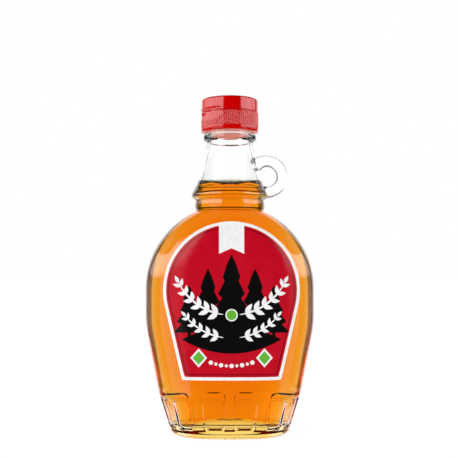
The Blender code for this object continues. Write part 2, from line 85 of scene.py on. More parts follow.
# Foot
HEEL_RADIUS = 0.0040
FOOT_BAND = 0.0042  # flat ring that the flask stands on
PUNT_HEIGHT = 0.0013  # hollow under the base
PUNT_SLOPE = 0.0030
PUNT_SHARES = (0.03, 0.25, 0.5, 0.75)  # of the way out

# Neck, by height and radius
NECK_FOOT_Z = 0.1167
NECK_FOOT_RADIUS = 0.0176
MOUTH_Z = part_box("bottle")[1].z
FINISH_RADIUS = 0.0125
BEAD_RADIUS = 0.0139
BEAD_TOP_Z = 0.1569
BEAD_FOOT_Z = 0.1538
BEAD_ROUND = 0.0009
NECK = (  # the two rings, then the flare up to the bead
    (NECK_FOOT_Z, NECK_FOOT_RADIUS),
    (0.1183, 0.0182),
    (0.1201, 0.0183),
    (0.1213, 0.0182),
    (0.1222, 0.0179),
    (0.1233, 0.0193),
    (0.1247, 0.0201),
    (0.1263, 0.0197),
    (0.1280, 0.0187),
    (0.1312, 0.0172),
    (0.1354, 0.0157),
    (0.1420, 0.0140),
    (0.1480, 0.0127),
    (0.1530, 0.0121),
)

# Inside of the glass. Only refraction shows it, and its side walls and floor differ from the solid's
WALL = 0.0026
BASE_WALL = 0.0046
BASE_WALL_FOOT_Z = 0.014  # the front and back walls thin from here up
BASE_WALL_TOP_Z = 0.040
SIDE_WALL = 0.0056
SIDE_WALL_TOP_Z = 0.098  # above here the side walls thin to the neck
BASE_SIDE_WALL = 0.0085
BASE_SIDE_WALL_FOOT_Z = 0.014
BASE_SIDE_WALL_TOP_Z = 0.030
FLOOR_Z = 0.0056
FLOOR_CORNER = 0.0040
FLOOR_DOME = 0.0038
FLOOR_SHARES = (0.04, 0.18, 0.32, 0.46, 0.60, 0.74, 0.88)  # of the way out to the corner
BORE = (
    (0.1220, 0.0160),
    (0.1290, 0.0155),
    (0.1354, 0.0139),
    (0.1420, 0.0122),
    (0.1500, 0.0107),
    (0.1570, 0.0098),
    (MOUTH_Z, 0.0096),
)

# Painted light: the syrup's colour that shows through the foot, painted into the glass in the middle of
# the foot
FOOT_LIGHT_TOP_Z = 0.0076
FOOT_LIGHT_FADE = 0.001
FOOT_LIGHT_HALF_WIDTHS = (0.018, 0.023)  # where it starts and ends to fade

# Panels pressed into the base, in quarters of the way round from the front's middle
PANELS = ((0.052, 0.292), (0.405, 0.620), (0.715, 0.950))
PANEL_FOOT_Z = 0.0054
PANEL_TOP_Z = 0.0199
PANEL_CORNER = 0.0022
PANEL_EDGE = 0.0009

# Finger loop and the web over its upper root
LOOP_X = 0.0194
LOOP_Z = 0.1349
LOOP_RADIUS = 0.0082
LOOP_HALF_HEIGHT = 0.0026
LOOP_HALF_DEPTH = 0.0030
LOOP_HALF_TURN = math.radians(138)
LOOP_ROOT_START = 0.6  # share of each half's way where the loop starts to thicken
LOOP_ROOT_GROWTH = 0.4
WEB_HALF_THICKNESS = 0.0016
WEB_ROUND = 0.0007
WEB_OUTLINE = (  # X and Z
    (0.0115, 0.1516),
    (0.0115, 0.1420),
    (0.0190, 0.1440),
    (0.0190, 0.1457),
    (0.0163, 0.1470),
    (0.0143, 0.1492),
    (0.0126, 0.1518),
)

# Syrup
FILL_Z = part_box("syrup")[1].z
FILL_DROP = 0.00005  # from the top of the film on the wall down to the highest point of the level
FILL_CLEAR = 0.0004  # from the last row of the wall to the lowest point of the level
LEVEL_SHARES = (0.93, 0.8, 0.6, 0.4, 0.2, 0.05)  # of the radius, from the wall to the middle

# Cap
CAP_FOOT_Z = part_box("cap")[0].z
CAP_SPLIT_Z = 0.1683  # between the screwed skirt and the lid
CAP_TOP_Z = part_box("cap")[1].z
SKIRT_RADIUS = 0.0151
LID_RADIUS = 0.01485
CAP_BORE = 0.0134
CAP_EDGE = 0.0010
CAP_ROOF = 0.0020
SKIRT_EDGE = 0.0004
SPLIT_DEPTH = 0.00035
SPLIT_HALF_HEIGHT = 0.0002  # of the groove between skirt and lid
RIB_FOOT_Z = 0.1605
RIB_TOP_Z = 0.1679
RIB_RUN_IN = 0.0003
RIB_VALLEY = 0.00018  # how far the skirt lies back between its ribs
SCOOP_TURN = math.radians(-55)  # from the front, towards -X
SCOOP_HALF_WIDTH = 0.0104
SCOOP_DROP = 0.0054
SCOOP_DEPTH = 0.0014  # at its top
SCOOP_FOOT_DEPTH = 0.0011
SCOOP_TOP_Z = CAP_SPLIT_Z - SPLIT_HALF_HEIGHT / 2
SCOOP_CLEAR = 0.005  # how far the scoop's cutter stands out of the skirt
LIP_HALF_WIDTH = 0.0092
LIP_HALF_DEPTH = 0.3 * LID_RADIUS
LIP_HALF_HEIGHT = 0.0011
LIP_PROUD = 0.0005
HINGE_HALF_WIDTH = 0.0042
HINGE_HEIGHT = 0.0036
HINGE_THICKNESS = 0.0014
HINGE_PROUD = 0.0004
HINGE_ROUND = 0.0003

# Label
LABEL_X = 0.0009
LABEL_TOP_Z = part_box("label")[1].z
LABEL_FOOT_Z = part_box("label")[0].z
LABEL_RADIUS = 0.0347
LABEL_FOOT_HALF_WIDTH = 0.0250
LABEL_CORNER = 0.0006
FIELD_INSET = 0.0016  # the white border's width
LINE_INSETS = (0.0026, 0.0032)  # outer and inner edge of the dark line
TREES = (  # offset from the label's middle, height and half-width
    (0.0, 0.0410, 0.0115),
    (0.0118, 0.0345, 0.0098),
    (-0.0118, 0.0345, 0.0098),
    (0.0212, 0.0265, 0.0080),
    (-0.0212, 0.0265, 0.0080),
)
TREE_FOOT_Z = 0.0530
TREE_FOOT_DROP = 0.05  # how far a tree's foot drops for each metre from the middle
HILL_Z = 0.0512
HILL_HALF_WIDTH = 0.0250
HILL_RISE = 0.0066
HILL_DROP = 0.0070
SPRIG_RADIUS = 0.0300
SPRIG_START = 8  # degrees from straight down
SPRIGS = (  # centre's Z, end in degrees, pairs of leaves, their length and width, stem's width
    (0.0935, 62, 6, 0.0062, 0.0027, 0.0010),
    (0.0820, 50, 5, 0.0050, 0.0022, 0.0008),
)
SPOT_Z = 0.0635
SPOT_RADII = (0.0031, 0.0025)  # of its white rim and its green middle
PENNANT_HALF_WIDTH = 0.0063  # of the white tab with a notched foot
PENNANT_TIP_Z = 0.0942
PENNANT_NOTCH_Z = 0.0970
PENNANT_TOP_GAP = 0.0003
PENNANT_SHOULDER = 0.0007
DIAMOND_X = 0.0165
DIAMOND_Z = 0.0420
DIAMOND_HALF_WIDTH = 0.0042
DIAMOND_HALF_HEIGHT = 0.0048
DIAMOND_INNER = 0.72  # the green middle's share of the white diamond
DOT_CIRCLE_Z = 0.0710
DOT_CIRCLE_RADIUS = 0.0330
DOT_TURN = 4.6  # degrees between dots
DOT_RADII = (0.0011, 0.0008)  # by turns
DOTS_EACH_SIDE = 4

# Grain of the finishes, in waves a metre, and its height
TINT_SCALE = 40.0
CLARITY_SCALE = 60.0
FLOW_SCALE = 90.0
PLASTIC_GRAIN_SCALE = 600.0
PLASTIC_GRAIN_HEIGHT = 0.000002
FLOW_GLOSS = 0.04  # how much the flow marks change the roughness
MOTTLE_SCALE = 900.0
CLOUD_SCALE = 160.0
INK_VALUES = (0.90, 0.16)  # the print's darkest brightness, and how much the mottle adds
MOTTLE_GLOSS = 0.08
PAPER_GRAIN_SCALE = 1500.0
PAPER_GRAIN_HEIGHT = 0.00002

# Studio, in degrees of rise or of turn from the front. An edge blends from its first value to its second
BOX_FOOT_EDGE = (-22.0, -14.0)
BOX_FULL_EDGE = (3.0, 8.0)  # the boxes are dimmer below it
BOX_TOP_EDGE = (30.0, 38.0)
BOX_LEFT_EDGE = (-28.0, -25.0)
BOX_RIGHT_EDGE = (45.0, 48.0)
BOX_REAR_EDGE = (84.0, 112.0)  # the boxes fade beyond it
BOX_END_FADE = 4.0
BAND_FOOT_EDGE = (3.0, 6.0)  # the band of the boxes that only reflections show
BAND_TOP_EDGE = (20.0, 25.0)
BACK_SIDE_FADE = 6.0
BACK_TOP_FADE = 8.0
CEILING_FOOT_EDGE = (40.0, 70.0)
CEILING_BACK_EDGE = (-0.05, 0.15)  # along Y

# Steps of the meshes, as counts or as lengths
SECTION_STEPS = 4000
HEIGHT_STEPS = 400
COLUMN_STEP = 0.0008  # along the base between the panels' edges
EDGE_STEPS = (-0.0007, -0.00045, -0.0002, 0.0002, 0.00045, 0.0007)
LEAST_COLUMN = 0.00015  # columns that are closer than this are merged
BASE_ROW = 0.00045
LEDGE_ROW = 0.00025
BODY_ROW = 0.0022
NECK_ROW = 0.0006
BORE_ROW = 0.0010
PUNT_STEPS = 6
HEEL_STEPS = 8
BEAD_STEPS = 5
FLOOR_CORNER_STEPS = 10
LOOP_STEPS = 96
LOOP_SIDES = 36
CAP_COLUMNS = 256
SKIRT_EDGE_STEPS = 4
LID_EDGE_STEPS = 7
LID_SHARES = (0.8, 0.3)
RIB_SIDES = 20
LIP_SEGMENTS = 96
LIP_RINGS = 48
SCOOP_STEPS = 48
LABEL_CORNER_STEPS = 4
LABEL_SIDE_STEPS = 24
LABEL_ARC_STEPS = 60
HILL_STEPS = 32
STEM_STEPS = 40
LABEL_GRID = 0.0015
LABEL_GRID_STEPS = 24  # to each side of the middle
LABEL_GRID_INSET = 0.0004
LABEL_EDGE_STEP = 0.0012
LABEL_MERGE = 1e-7
SLOPE_STEP = 0.0002  # over which the glass's slope is measured
SHARP = math.radians(40)
CAP_SHARP = math.radians(30)


class Value:
    """A socket that Python arithmetic turns into Math nodes."""

    def __init__(self, tree, socket):
        self.tree = tree
        self.socket = socket

    def math(self, operation, *others):
        """A Math node on this value and others."""
        return self.tree.math(operation, self, *others)

    def split(self):
        """The three parts of a vector."""
        node = self.tree.add("ShaderNodeSeparateXYZ", {}, {0: self}).socket.node
        return [Value(self.tree, socket) for socket in node.outputs]

    def step(self, low, high):
        """An eased step from 0 at low to 1 at high."""
        settings = {"interpolation_type": "SMOOTHSTEP"}
        sockets = {"Value": self, "From Min": low, "From Max": high}
        return self.tree.add("ShaderNodeMapRange", settings, sockets)

    def __add__(self, other):
        return self.math("ADD", other)

    def __sub__(self, other):
        return self.math("SUBTRACT", other)

    def __mul__(self, other):
        return self.math("MULTIPLY", other)

    def __truediv__(self, other):
        return self.math("DIVIDE", other)

    def __neg__(self):
        return self * -1.0

    def __radd__(self, other):
        return self + other

    def __rmul__(self, other):
        return self * other

    def __rsub__(self, other):
        return self.tree.math("SUBTRACT", other, self)


class Tree:
    """Adds nodes to a shader tree or a Geometry Nodes tree."""

    def __init__(self, nodes):
        self.nodes = nodes

    def add(self, kind, settings, sockets, output=0):
        """A node with its settings, then its sockets' values or links; gives one output."""
        node = self.nodes.nodes.new(kind)
        for name, value in settings.items():
            if name == "stops":
                set_stops(node.color_ramp, value)
            else:
                setattr(node, name, value)
        for name, value in sockets.items():
            if isinstance(value, Value):
                self.nodes.links.new(value.socket, node.inputs[name])
            else:
                node.inputs[name].default_value = value
        return Value(self, node.outputs[output])

    def math(self, operation, *values):
        """A Math node."""
        return self.add("ShaderNodeMath", {"operation": operation}, dict(enumerate(values)))

    def vector(self, x, y, z):
        """A vector from three values."""
        return self.add("ShaderNodeCombineXYZ", {}, {0: x, 1: y, 2: z})

    def mix(self, factor, low, high):
        """A blend of two colours."""
        sockets = {0: factor, 6: low, 7: high}
        return self.add("ShaderNodeMix", {"data_type": "RGBA"}, sockets, 2)

    def place(self):
        """The object's own coordinates."""
        return self.add("ShaderNodeTexCoord", {}, {}, "Object")

    def attribute(self, name, output="Fac"):
        """An attribute of the mesh."""
        return self.add("ShaderNodeAttribute", {"attribute_name": name}, {}, output)

    def noise(self, scale, detail=2.0):
        """Noise on the object's own coordinates, about 0.5."""
        sockets = {"Vector": self.place(), "Scale": scale, "Detail": detail}
        return self.add("ShaderNodeTexNoise", {}, sockets)

    def bump(self, height, distance):
        """A normal that follows a height."""
        return self.add("ShaderNodeBump", {}, {"Height": height, "Distance": distance, "Strength": 1.0})


def set_stops(ramp, stops):
    """Gives a colour ramp its stops."""
    while len(ramp.elements) > len(stops):
        ramp.elements.remove(ramp.elements[-1])
    for i, (position, colour) in enumerate(stops):
        element = ramp.elements[i] if i < len(ramp.elements) else ramp.elements.new(position)
        element.position = position
        element.color = colour


def new_material(name):
    """A material with a Principled shader, and its tree."""
    made = bpy.data.materials.new(name)
    made.use_nodes = True
    return made, Tree(made.node_tree), made.node_tree.nodes["Principled BSDF"]


def feed(tree, shader, **values):
    """Sets or links the Principled shader's sockets."""
    for name, value in values.items():
        socket = shader.inputs[name.replace("_", " ").title().replace("Ior", "IOR")]
        if isinstance(value, Value):
            tree.nodes.links.new(value.socket, socket)
        else:
            socket.default_value = value


def colour(value):
    """A colour property as RGBA."""
    return (*value, 1.0)


def glass_material(settings, name, shine=1.0, painted_light=None):
    """Clear flint glass, a little uneven from its mould. A painted light, if given, tints the middle of
    its foot in the syrup's colour.
    """
    made, tree, shader = new_material(name)
    tint = tree.mix(tree.noise(TINT_SCALE), colour(settings.tint), (1.0, 1.0, 1.0, 1.0))
    # Painted light: syrup-coloured light seen through the foot, painted into the glass's tint
    if painted_light:
        x, y, z = tree.place().split()
        middle = 1.0 - x.math("ABSOLUTE").step(*FOOT_LIGHT_HALF_WIDTHS)
        low = 1.0 - z.step(FOOT_LIGHT_TOP_Z - FOOT_LIGHT_FADE, FOOT_LIGHT_TOP_Z)
        tint = tree.mix(middle * low, tint, painted_light)
    normal = tree.bump(tree.noise(settings.ripple_scale, 1.0), settings.ripple_height)
    feed(tree, shader, base_color=tint, roughness=0.0, ior=settings.ior, transmission_weight=1.0)
    feed(tree, shader, normal=normal, specular_tint=(shine, shine, shine, 1.0))
    return made


def syrup_material(settings):
    """Amber syrup that darkens with the depth seen through, and its thin film on the wall, with a painted
    dark line of shade at the film's foot.
    """
    made, tree, shader = new_material("amber_syrup")
    clear = tree.mix(tree.noise(CLARITY_SCALE), (1.0, 0.99, 0.97, 1.0), (1.0, 1.0, 1.0, 1.0))
    feed(tree, shader, base_color=clear, roughness=0.0, ior=settings.ior, transmission_weight=1.0)
    feed(tree, shader, specular_tint=(*(settings.shine,) * 3, 1.0))
    # The film's foot is painted dark: a painted shade line where the level meets the wall
    height = tree.attribute("film_height").step(0.0, 1.1)
    painted_film_shade = tree.mix(height, colour(settings.film_foot_painted_shade), colour(settings.film_top))
    sockets = {"Base Color": painted_film_shade, "Roughness": 0.0, "IOR": 1.0, "Transmission Weight": 1.0}
    film = tree.add("ShaderNodeBsdfPrincipled", {}, sockets)
    fill = Value(tree, shader.outputs[0])
    mixed = tree.add("ShaderNodeMixShader", {}, {0: tree.attribute("film"), 1: fill, 2: film})
    sockets = {"Color": colour(settings.colour), "Density": settings.density}
    depth = tree.add("ShaderNodeVolumeAbsorption", {}, sockets)
    output = made.node_tree.nodes["Material Output"]
    made.node_tree.links.new(mixed.socket, output.inputs["Surface"])
    made.node_tree.links.new(depth.socket, output.inputs["Volume"])
    return made


def cap_material(settings):
    """Glossy moulded plastic with faint flow marks and fine grain, and a faint painted glow inside its
    bore for light that comes through the plastic.
    """
    made, tree, shader = new_material("red_plastic")
    flow = tree.noise(FLOW_SCALE, 3.0)
    base = tree.mix(flow.step(0.3, 0.7), colour(settings.shade), colour(settings.colour))
    gloss = settings.roughness + FLOW_GLOSS * (flow - 0.5)
    normal = tree.bump(tree.noise(PLASTIC_GRAIN_SCALE, 2.0), PLASTIC_GRAIN_HEIGHT)
    x, y, z = tree.place().split()
    in_bore = (x * x + y * y).math("LESS_THAN", (CAP_BORE + SKIRT_EDGE / 4) ** 2)
    in_bore = in_bore * z.math("LESS_THAN", CAP_TOP_Z - CAP_ROOF / 2)
    # Painted glow: emission inside the bore stands in for light that comes through the plastic
    glow = tree.mix(in_bore, (0.0, 0.0, 0.0, 1.0), colour(settings.painted_inner_glow))
    feed(tree, shader, base_color=base, roughness=gloss, normal=normal, ior=1.5)
    feed(tree, shader, emission_color=glow, emission_strength=1.0)
    return made


def paper_material(settings):
    """Coated paper whose ink is an attribute of the mesh, with faintly mottled printing."""
    made, tree, shader = new_material("printed_paper")
    fine = tree.noise(MOTTLE_SCALE, 4.0).step(0.35, 0.65)
    cloudy = tree.noise(CLOUD_SCALE, 2.0).step(0.3, 0.7)
    mottle = fine * 0.5 + cloudy * 0.5
    sockets = {"Color": tree.attribute("ink", "Color"), "Value": INK_VALUES[0] + INK_VALUES[1] * mottle}
    worn = tree.add("ShaderNodeHueSaturation", {}, sockets)
    gloss = settings.roughness + MOTTLE_GLOSS * mottle
    normal = tree.bump(tree.noise(PAPER_GRAIN_SCALE, 3.0), PAPER_GRAIN_HEIGHT)
    feed(tree, shader, base_color=worn, roughness=gloss, normal=normal, specular_ior_level=settings.gloss)
    return made


def eased(low, high, value):
    """0 below low, 1 above high and an eased blend between, for a number or an array."""
    way = np.clip((value - low) / (high - low), 0.0, 1.0)
    return way * way * (3 - 2 * way)


def quarter_turn(steps):
    """Sine and cosine at even steps of a quarter turn."""
    turns = [math.pi / 2 * i / steps for i in range(steps + 1)]
    return [(math.sin(turn), math.cos(turn)) for turn in turns]


def through(points, height):
    """Reads a smooth curve through (height, value) points that are ordered by height."""
    heights, values = zip(*points)
    last = len(points) - 1
    if height <= heights[0]:
        return values[0]
    if height >= heights[last]:
        return values[last]
    spans = np.diff(heights)
    steps = np.diff(values) / spans
    slopes = [steps[0]]
    for before, after in zip(steps, steps[1:]):
        slopes.append(2 * before * after / (before + after) if before * after > 0 else 0.0)
    slopes.append(steps[-1])
    i = max(k for k in range(last) if heights[k] <= height)
    t = (height - heights[i]) / spans[i]
    return (
        (2 * t**3 - 3 * t**2 + 1) * values[i]
        + (t**3 - 2 * t**2 + t) * spans[i] * slopes[i]
        + (3 * t**2 - 2 * t**3) * values[i + 1]
        + (t**3 - t**2) * spans[i] * slopes[i + 1]
    )


def side_half_width(z, inset=0.0):
    """The body's half-width, measured inset inside the outer face."""
    bend = math.atan(SIDE_TAPER)
    radius = BODY_RADIUS - inset
    if z >= BODY_CENTRE_Z:
        return math.sqrt(max(radius**2 - (z - BODY_CENTRE_Z) ** 2, 0.0))
    if z >= SIDE_FOOT_Z:
        return radius
    bend_foot = SIDE_FOOT_Z - SIDE_BEND_RADIUS * math.sin(bend)
    if z >= bend_foot:
        drop = SIDE_FOOT_Z - z
        return radius - SIDE_BEND_RADIUS + math.sqrt(SIDE_BEND_RADIUS**2 - drop**2)
    at_foot = radius - SIDE_BEND_RADIUS * (1 - math.cos(bend))
    return at_foot - SIDE_TAPER * (bend_foot - z)


def side_half_depth(z, inset=0.0):
    """The body's half-depth, which bends back to the neck over its shoulder."""
    foot = NECK_FOOT_RADIUS - inset
    full = BODY_HALF_DEPTH - inset
    if z <= DEPTH_SHOULDER_Z:
        return full - DEPTH_TAPER * (DEPTH_SHOULDER_Z - z)
    way = min((z - DEPTH_SHOULDER_Z) / (NECK_FOOT_Z - inset - DEPTH_SHOULDER_Z), 1.0)
    return foot + (full - foot) * math.sqrt(max(1 - way**DEPTH_SHOULDER_POWER, 0.0))


def flatness(z, top=NECK_FOOT_Z):
    """The section's exponents: round at the neck, flat-sided in the body."""
    way = 1 - eased(FLAT_TOP_Z, top, z)
    return ROUND + (FACE_FLATNESS - ROUND) * way, ROUND + (END_FLATNESS - ROUND) * way


def quarter(half_width, half_depth, flat):
    """A quarter of an oval section, from its front's middle to its end, by share of its length."""
    turn = np.linspace(0.0, math.pi / 2, SECTION_STEPS)
    across = half_width * np.sin(turn) ** (2 / flat[0])
    deep = half_depth * np.maximum(np.cos(turn), 0.0) ** (2 / flat[1])
    way = np.concatenate(([0.0], np.cumsum(np.hypot(np.diff(across), np.diff(deep)))))
    return way / way[-1], across, deep, way[-1]


def shares_of(places):
    """Each place's share of its own quarter, from the front's or back's middle."""
    turn = places % 2
    return np.where(turn <= 1, turn, 2 - turn)


def section(half_width, half_depth, flat, places):
    """X and Y round a section. A place counts quarters round from the front's middle, +X side first."""
    way, across, deep, _ = quarter(half_width, half_depth, flat)
    share = shares_of(places)
    turn = places % 4
    x = np.interp(share, way, across) * np.where(turn <= 2, 1, -1)
    y = np.interp(share, way, deep) * np.where((turn > 1) & (turn < 3), 1, -1)
    return np.column_stack((x, y))


def base_size(z):
    """Half-width and half-depth of the tapering base at a height under the ledge."""
    drop = LEDGE_FOOT_Z - z
    width = side_half_width(LEDGE_TOP_Z) - LEDGE_STEP - BASE_TAPER * drop
    depth = side_half_depth(LEDGE_TOP_Z) - LEDGE_STEP - BASE_DEPTH_TAPER * drop
    return width, depth, flatness(LEDGE_TOP_Z)


def ledge_size(z):
    """Section of the rounded step between the base and the body."""
    way = float(eased(LEDGE_FOOT_Z, LEDGE_TOP_Z, z))
    low = base_size(LEDGE_FOOT_Z)
    high = body_size(LEDGE_TOP_Z)
    return low[0] + (high[0] - low[0]) * way, low[1] + (high[1] - low[1]) * way, low[2]


def body_size(z):
    """Section of the body's outer face at a height."""
    return side_half_width(z), side_half_depth(z), flatness(z)


def neck_size(z):
    """Section of the neck's outer face at a height."""
    radius = through(NECK, z)
    return radius, radius, (ROUND, ROUND)


def neck_join():
    """Height where the hollow's shoulder meets the bore of the neck."""
    return BODY_CENTRE_Z + math.sqrt((BODY_RADIUS - WALL) ** 2 - BORE[0][1] ** 2)


def inner_size(z):
    """Section of the hollow at a height, above its floor's corner."""
    if z > neck_join():
        radius = through(BORE, z)
        return radius, radius, (ROUND, ROUND)
    wall = BASE_WALL + (WALL - BASE_WALL) * float(eased(BASE_WALL_FOOT_Z, BASE_WALL_TOP_Z, z))
    thinned = float(eased(BASE_SIDE_WALL_FOOT_Z, BASE_SIDE_WALL_TOP_Z, z))
    side_wall = BASE_SIDE_WALL + (SIDE_WALL - BASE_SIDE_WALL) * thinned
    side_wall += (WALL - SIDE_WALL) * float(eased(SIDE_WALL_TOP_Z, neck_join(), z))
    drop = max(LEDGE_FOOT_Z - z, 0.0)
    width = side_half_width(z + drop, side_wall) - BASE_TAPER * drop
    depth = side_half_depth(z + drop, wall) - BASE_DEPTH_TAPER * drop
    return width, max(depth, BORE[0][1]), flatness(z, neck_join())


def even_rows(low, high, spacing, size):
    """Rows between two heights, spaced evenly along the surface."""
    heights = np.linspace(low, high, HEIGHT_STEPS)
    sizes = np.array([size(z)[:2] for z in heights])
    steps = np.sqrt(np.diff(heights) ** 2 + (np.diff(sizes, axis=0) ** 2).max(axis=1))
    way = np.concatenate(([0.0], np.cumsum(steps)))
    count = max(int(round(way[-1] / spacing)), 1)
    chosen = np.interp(np.linspace(0.0, way[-1], count + 1), way, heights)
    return [(float(z), *size(float(z))) for z in chosen]


def foot_rows():
    """Rows under the foot, from the middle of the punt out to the heel's top."""
    width, depth, flat = base_size(HEEL_RADIUS)
    inner = HEEL_RADIUS + FOOT_BAND
    punt_depth = depth - inner - PUNT_SLOPE
    rows = [(PUNT_HEIGHT, width * share, punt_depth * share, flat) for share in PUNT_SHARES]
    for i in range(PUNT_STEPS + 1):
        way = i / PUNT_STEPS
        inwards = inner + PUNT_SLOPE * (1 - way)
        rows.append((PUNT_HEIGHT * (1 - float(eased(0, 1, way))), width - inwards, depth - inwards, flat))
    for sine, cosine in quarter_turn(HEEL_STEPS):
        inwards = HEEL_RADIUS * (1 - sine)
        rows.append((HEEL_RADIUS * (1 - cosine), width - inwards, depth - inwards, flat))
    return rows


def bead_rows():
    """Rows of the bead under the cap, and of the finish up to the mouth's lip."""
    rows = []
    for middle_z, start in ((BEAD_FOOT_Z + BEAD_ROUND, -90), (BEAD_TOP_Z - BEAD_ROUND, 0)):
        for i in range(BEAD_STEPS + 1):
            turn = math.radians(start + 90 * i / BEAD_STEPS)
            radius = BEAD_RADIUS - BEAD_ROUND * (1 - math.cos(turn))
            rows.append((middle_z + BEAD_ROUND * math.sin(turn), radius))
    rows.append((BEAD_TOP_Z + BEAD_ROUND / 4, FINISH_RADIUS))
    rows.append((MOUTH_Z - BEAD_ROUND, FINISH_RADIUS))
    rows.append((MOUTH_Z - BEAD_ROUND / 4, FINISH_RADIUS - BEAD_ROUND / 4))
    rows.append((MOUTH_Z, FINISH_RADIUS - BEAD_ROUND))
    return [(z, r, r, (ROUND, ROUND)) for z, r in rows]


def outer_rows():
    """Rows of the glass's outer face, from the punt's middle to the mouth."""
    rows = foot_rows()
    rows += even_rows(HEEL_RADIUS, LEDGE_FOOT_Z, BASE_ROW, base_size)[1:]
    rows += even_rows(LEDGE_FOOT_Z, LEDGE_TOP_Z, LEDGE_ROW, ledge_size)[1:]
    rows += even_rows(LEDGE_TOP_Z, NECK_FOOT_Z, BODY_ROW, body_size)[1:-1]
    rows += even_rows(NECK_FOOT_Z, NECK[-1][0], NECK_ROW, neck_size)
    return rows + bead_rows()


def inner_rows(top_z, outset):
    """Rows of the hollow's face up to a height, grown outwards by an outset."""
    corner_z = FLOOR_Z + FLOOR_CORNER
    width, depth, flat = inner_size(corner_z)
    rows = []
    for share in FLOOR_SHARES:
        z = FLOOR_Z + FLOOR_DOME * (1 - share**2)
        rows.append((z, (width - FLOOR_CORNER) * share, (depth - FLOOR_CORNER) * share, flat))
    for sine, cosine in quarter_turn(FLOOR_CORNER_STEPS):
        inwards = FLOOR_CORNER * (1 - sine)
        rows.append((corner_z - FLOOR_CORNER * cosine, width - inwards, depth - inwards, flat))
    rows += even_rows(corner_z, neck_join(), BODY_ROW, inner_size)[1:]
    rows += even_rows(neck_join(), MOUTH_Z, BORE_ROW, inner_size)[1:]
    kept = [row for row in rows if row[0] < top_z]
    kept.append((top_z, *inner_size(top_z)))
    return [(z - outset * (z < corner_z), w + outset, d + outset, f) for z, w, d, f in kept]


def column_places():
    """Places of the columns round the flask, closer together at the panels' upright edges."""
    run = quarter(*base_size((PANEL_FOOT_Z + PANEL_TOP_Z) / 2))[3]
    marks = [0.0, *(edge for panel in PANELS for edge in panel), 1.0]
    shares = {0.0}
    for low, high in zip(marks, marks[1:]):
        count = max(int(round((high - low) * run / COLUMN_STEP / 2)) * 2, 2)
        shares.update(low + (high - low) * i / count for i in range(1, count))
    for mark in marks[1:-1]:
        shares.update(mark + step / run for step in EDGE_STEPS)
    places = []
    for share in sorted(shares):
        if not places or share - places[-1] > LEAST_COLUMN / run:
            places.append(share)
    if len(places) % 2:
        places.pop(1)
    half = places + [2 - share for share in [1.0, *places[:0:-1]]]
    return np.array(half + [2 + share for share in half])


def panel_dent(places, z, panel_depth):
    """How far the pressed panels lie inside the base's face, round one row."""
    run = quarter(*base_size((PANEL_FOOT_Z + PANEL_TOP_Z) / 2))[3]
    share = shares_of(places)
    dent = np.zeros(len(places))
    v = abs(z - (PANEL_FOOT_Z + PANEL_TOP_Z) / 2) - (PANEL_TOP_Z - PANEL_FOOT_Z) / 2 + PANEL_CORNER
    for start, end in PANELS:
        u = (np.abs(share - (start + end) / 2) - (end - start) / 2) * run + PANEL_CORNER
        beyond = np.hypot(np.maximum(u, 0.0), max(v, 0.0)) + np.minimum(np.maximum(u, v), 0.0)
        inside = PANEL_CORNER - beyond
        dent = np.maximum(dent, panel_depth * eased(-PANEL_EDGE / 2, PANEL_EDGE / 2, inside))
    return dent


def flask_rings(places, panel_depth):
    """Rings of points of the outer face, with the panels pressed in."""
    rings = []
    for z, width, depth, flat in outer_rows():
        points = section(width, depth, flat, places)
        if HEEL_RADIUS < z < LEDGE_TOP_Z:
            pressed = section(width - panel_depth, depth - panel_depth, flat, places)
            share = panel_dent(places, z, panel_depth) / panel_depth
            points += (pressed - points) * share[:, None]
        rings.append(np.column_stack((points, np.full(len(points), z))))
    return rings


def plain_rings(rows, places):
    """Rings of points of plain rows."""
    rings = []
    for z, width, depth, flat in rows:
        points = section(width, depth, flat, places)
        rings.append(np.column_stack((points, np.full(len(points), z))))
    return rings


def tube(rings):
    """Points and faces of a tube of rings, its first and last ring filled. A ring may halve the count."""
    points = [rings[0].mean(axis=0)]
    starts = []
    for ring in rings:
        starts.append(len(points))
        points.extend(ring)
    points.append(rings[-1].mean(axis=0))
    first = len(rings[0])
    faces = [(0, starts[0] + (i + 1) % first, starts[0] + i) for i in range(first)]
    for k in range(len(rings) - 1):
        a, b = starts[k], starts[k + 1]
        count, after = len(rings[k]), len(rings[k + 1])
        if count == after:
            faces += [(a + i, a + (i + 1) % count, b + (i + 1) % count, b + i) for i in range(count)]
            continue
        for i in range(after):
            low, middle, high = a + 2 * i, a + 2 * i + 1, a + (2 * i + 2) % count
            faces.append((low, middle, b + i))
            faces.append((middle, high, b + (i + 1) % after, b + i))
    last, hub = len(rings[-1]), len(points) - 1
    faces += [(starts[-1] + i, starts[-1] + (i + 1) % last, hub) for i in range(last)]
    return points, faces


def smooth(mesh, sharp=SHARP):
    """Smooth shading but for the sharp edges."""
    mesh.shade_smooth()
    mesh.set_sharp_from_angle(angle=sharp)


def add_object(name, data):
    """An object in the scene."""
    made = bpy.data.objects.new(name, data)
    bpy.context.scene.collection.objects.link(made)
    return made


def add_mesh(name, mesh, *finishes):
    """A smooth object from a mesh and its materials."""
    mesh.materials.clear()
    for finish in finishes:
        mesh.materials.append(finish)
    smooth(mesh)
    return add_object(name, mesh)


def add_piece(name, points, faces, *finishes):
    """An object from points and faces."""
    mesh = bpy.data.meshes.new(name)
    mesh.from_pydata([tuple(p) for p in points], [], faces)
    return add_mesh(name, mesh, *finishes)


def add_solid(name, solid, finish):
    """An object from a bmesh, which is freed."""
    mesh = bpy.data.meshes.new(name)
    solid.to_mesh(mesh)
    solid.free()
    return add_mesh(name, mesh, finish)


def bevel_edges(solid, offset):
    """Rounds every edge of a bmesh."""
    edges = solid.edges[:]
    bmesh.ops.bevel(solid, geom=edges, offset=offset, segments=3, profile=0.5, affect="EDGES")


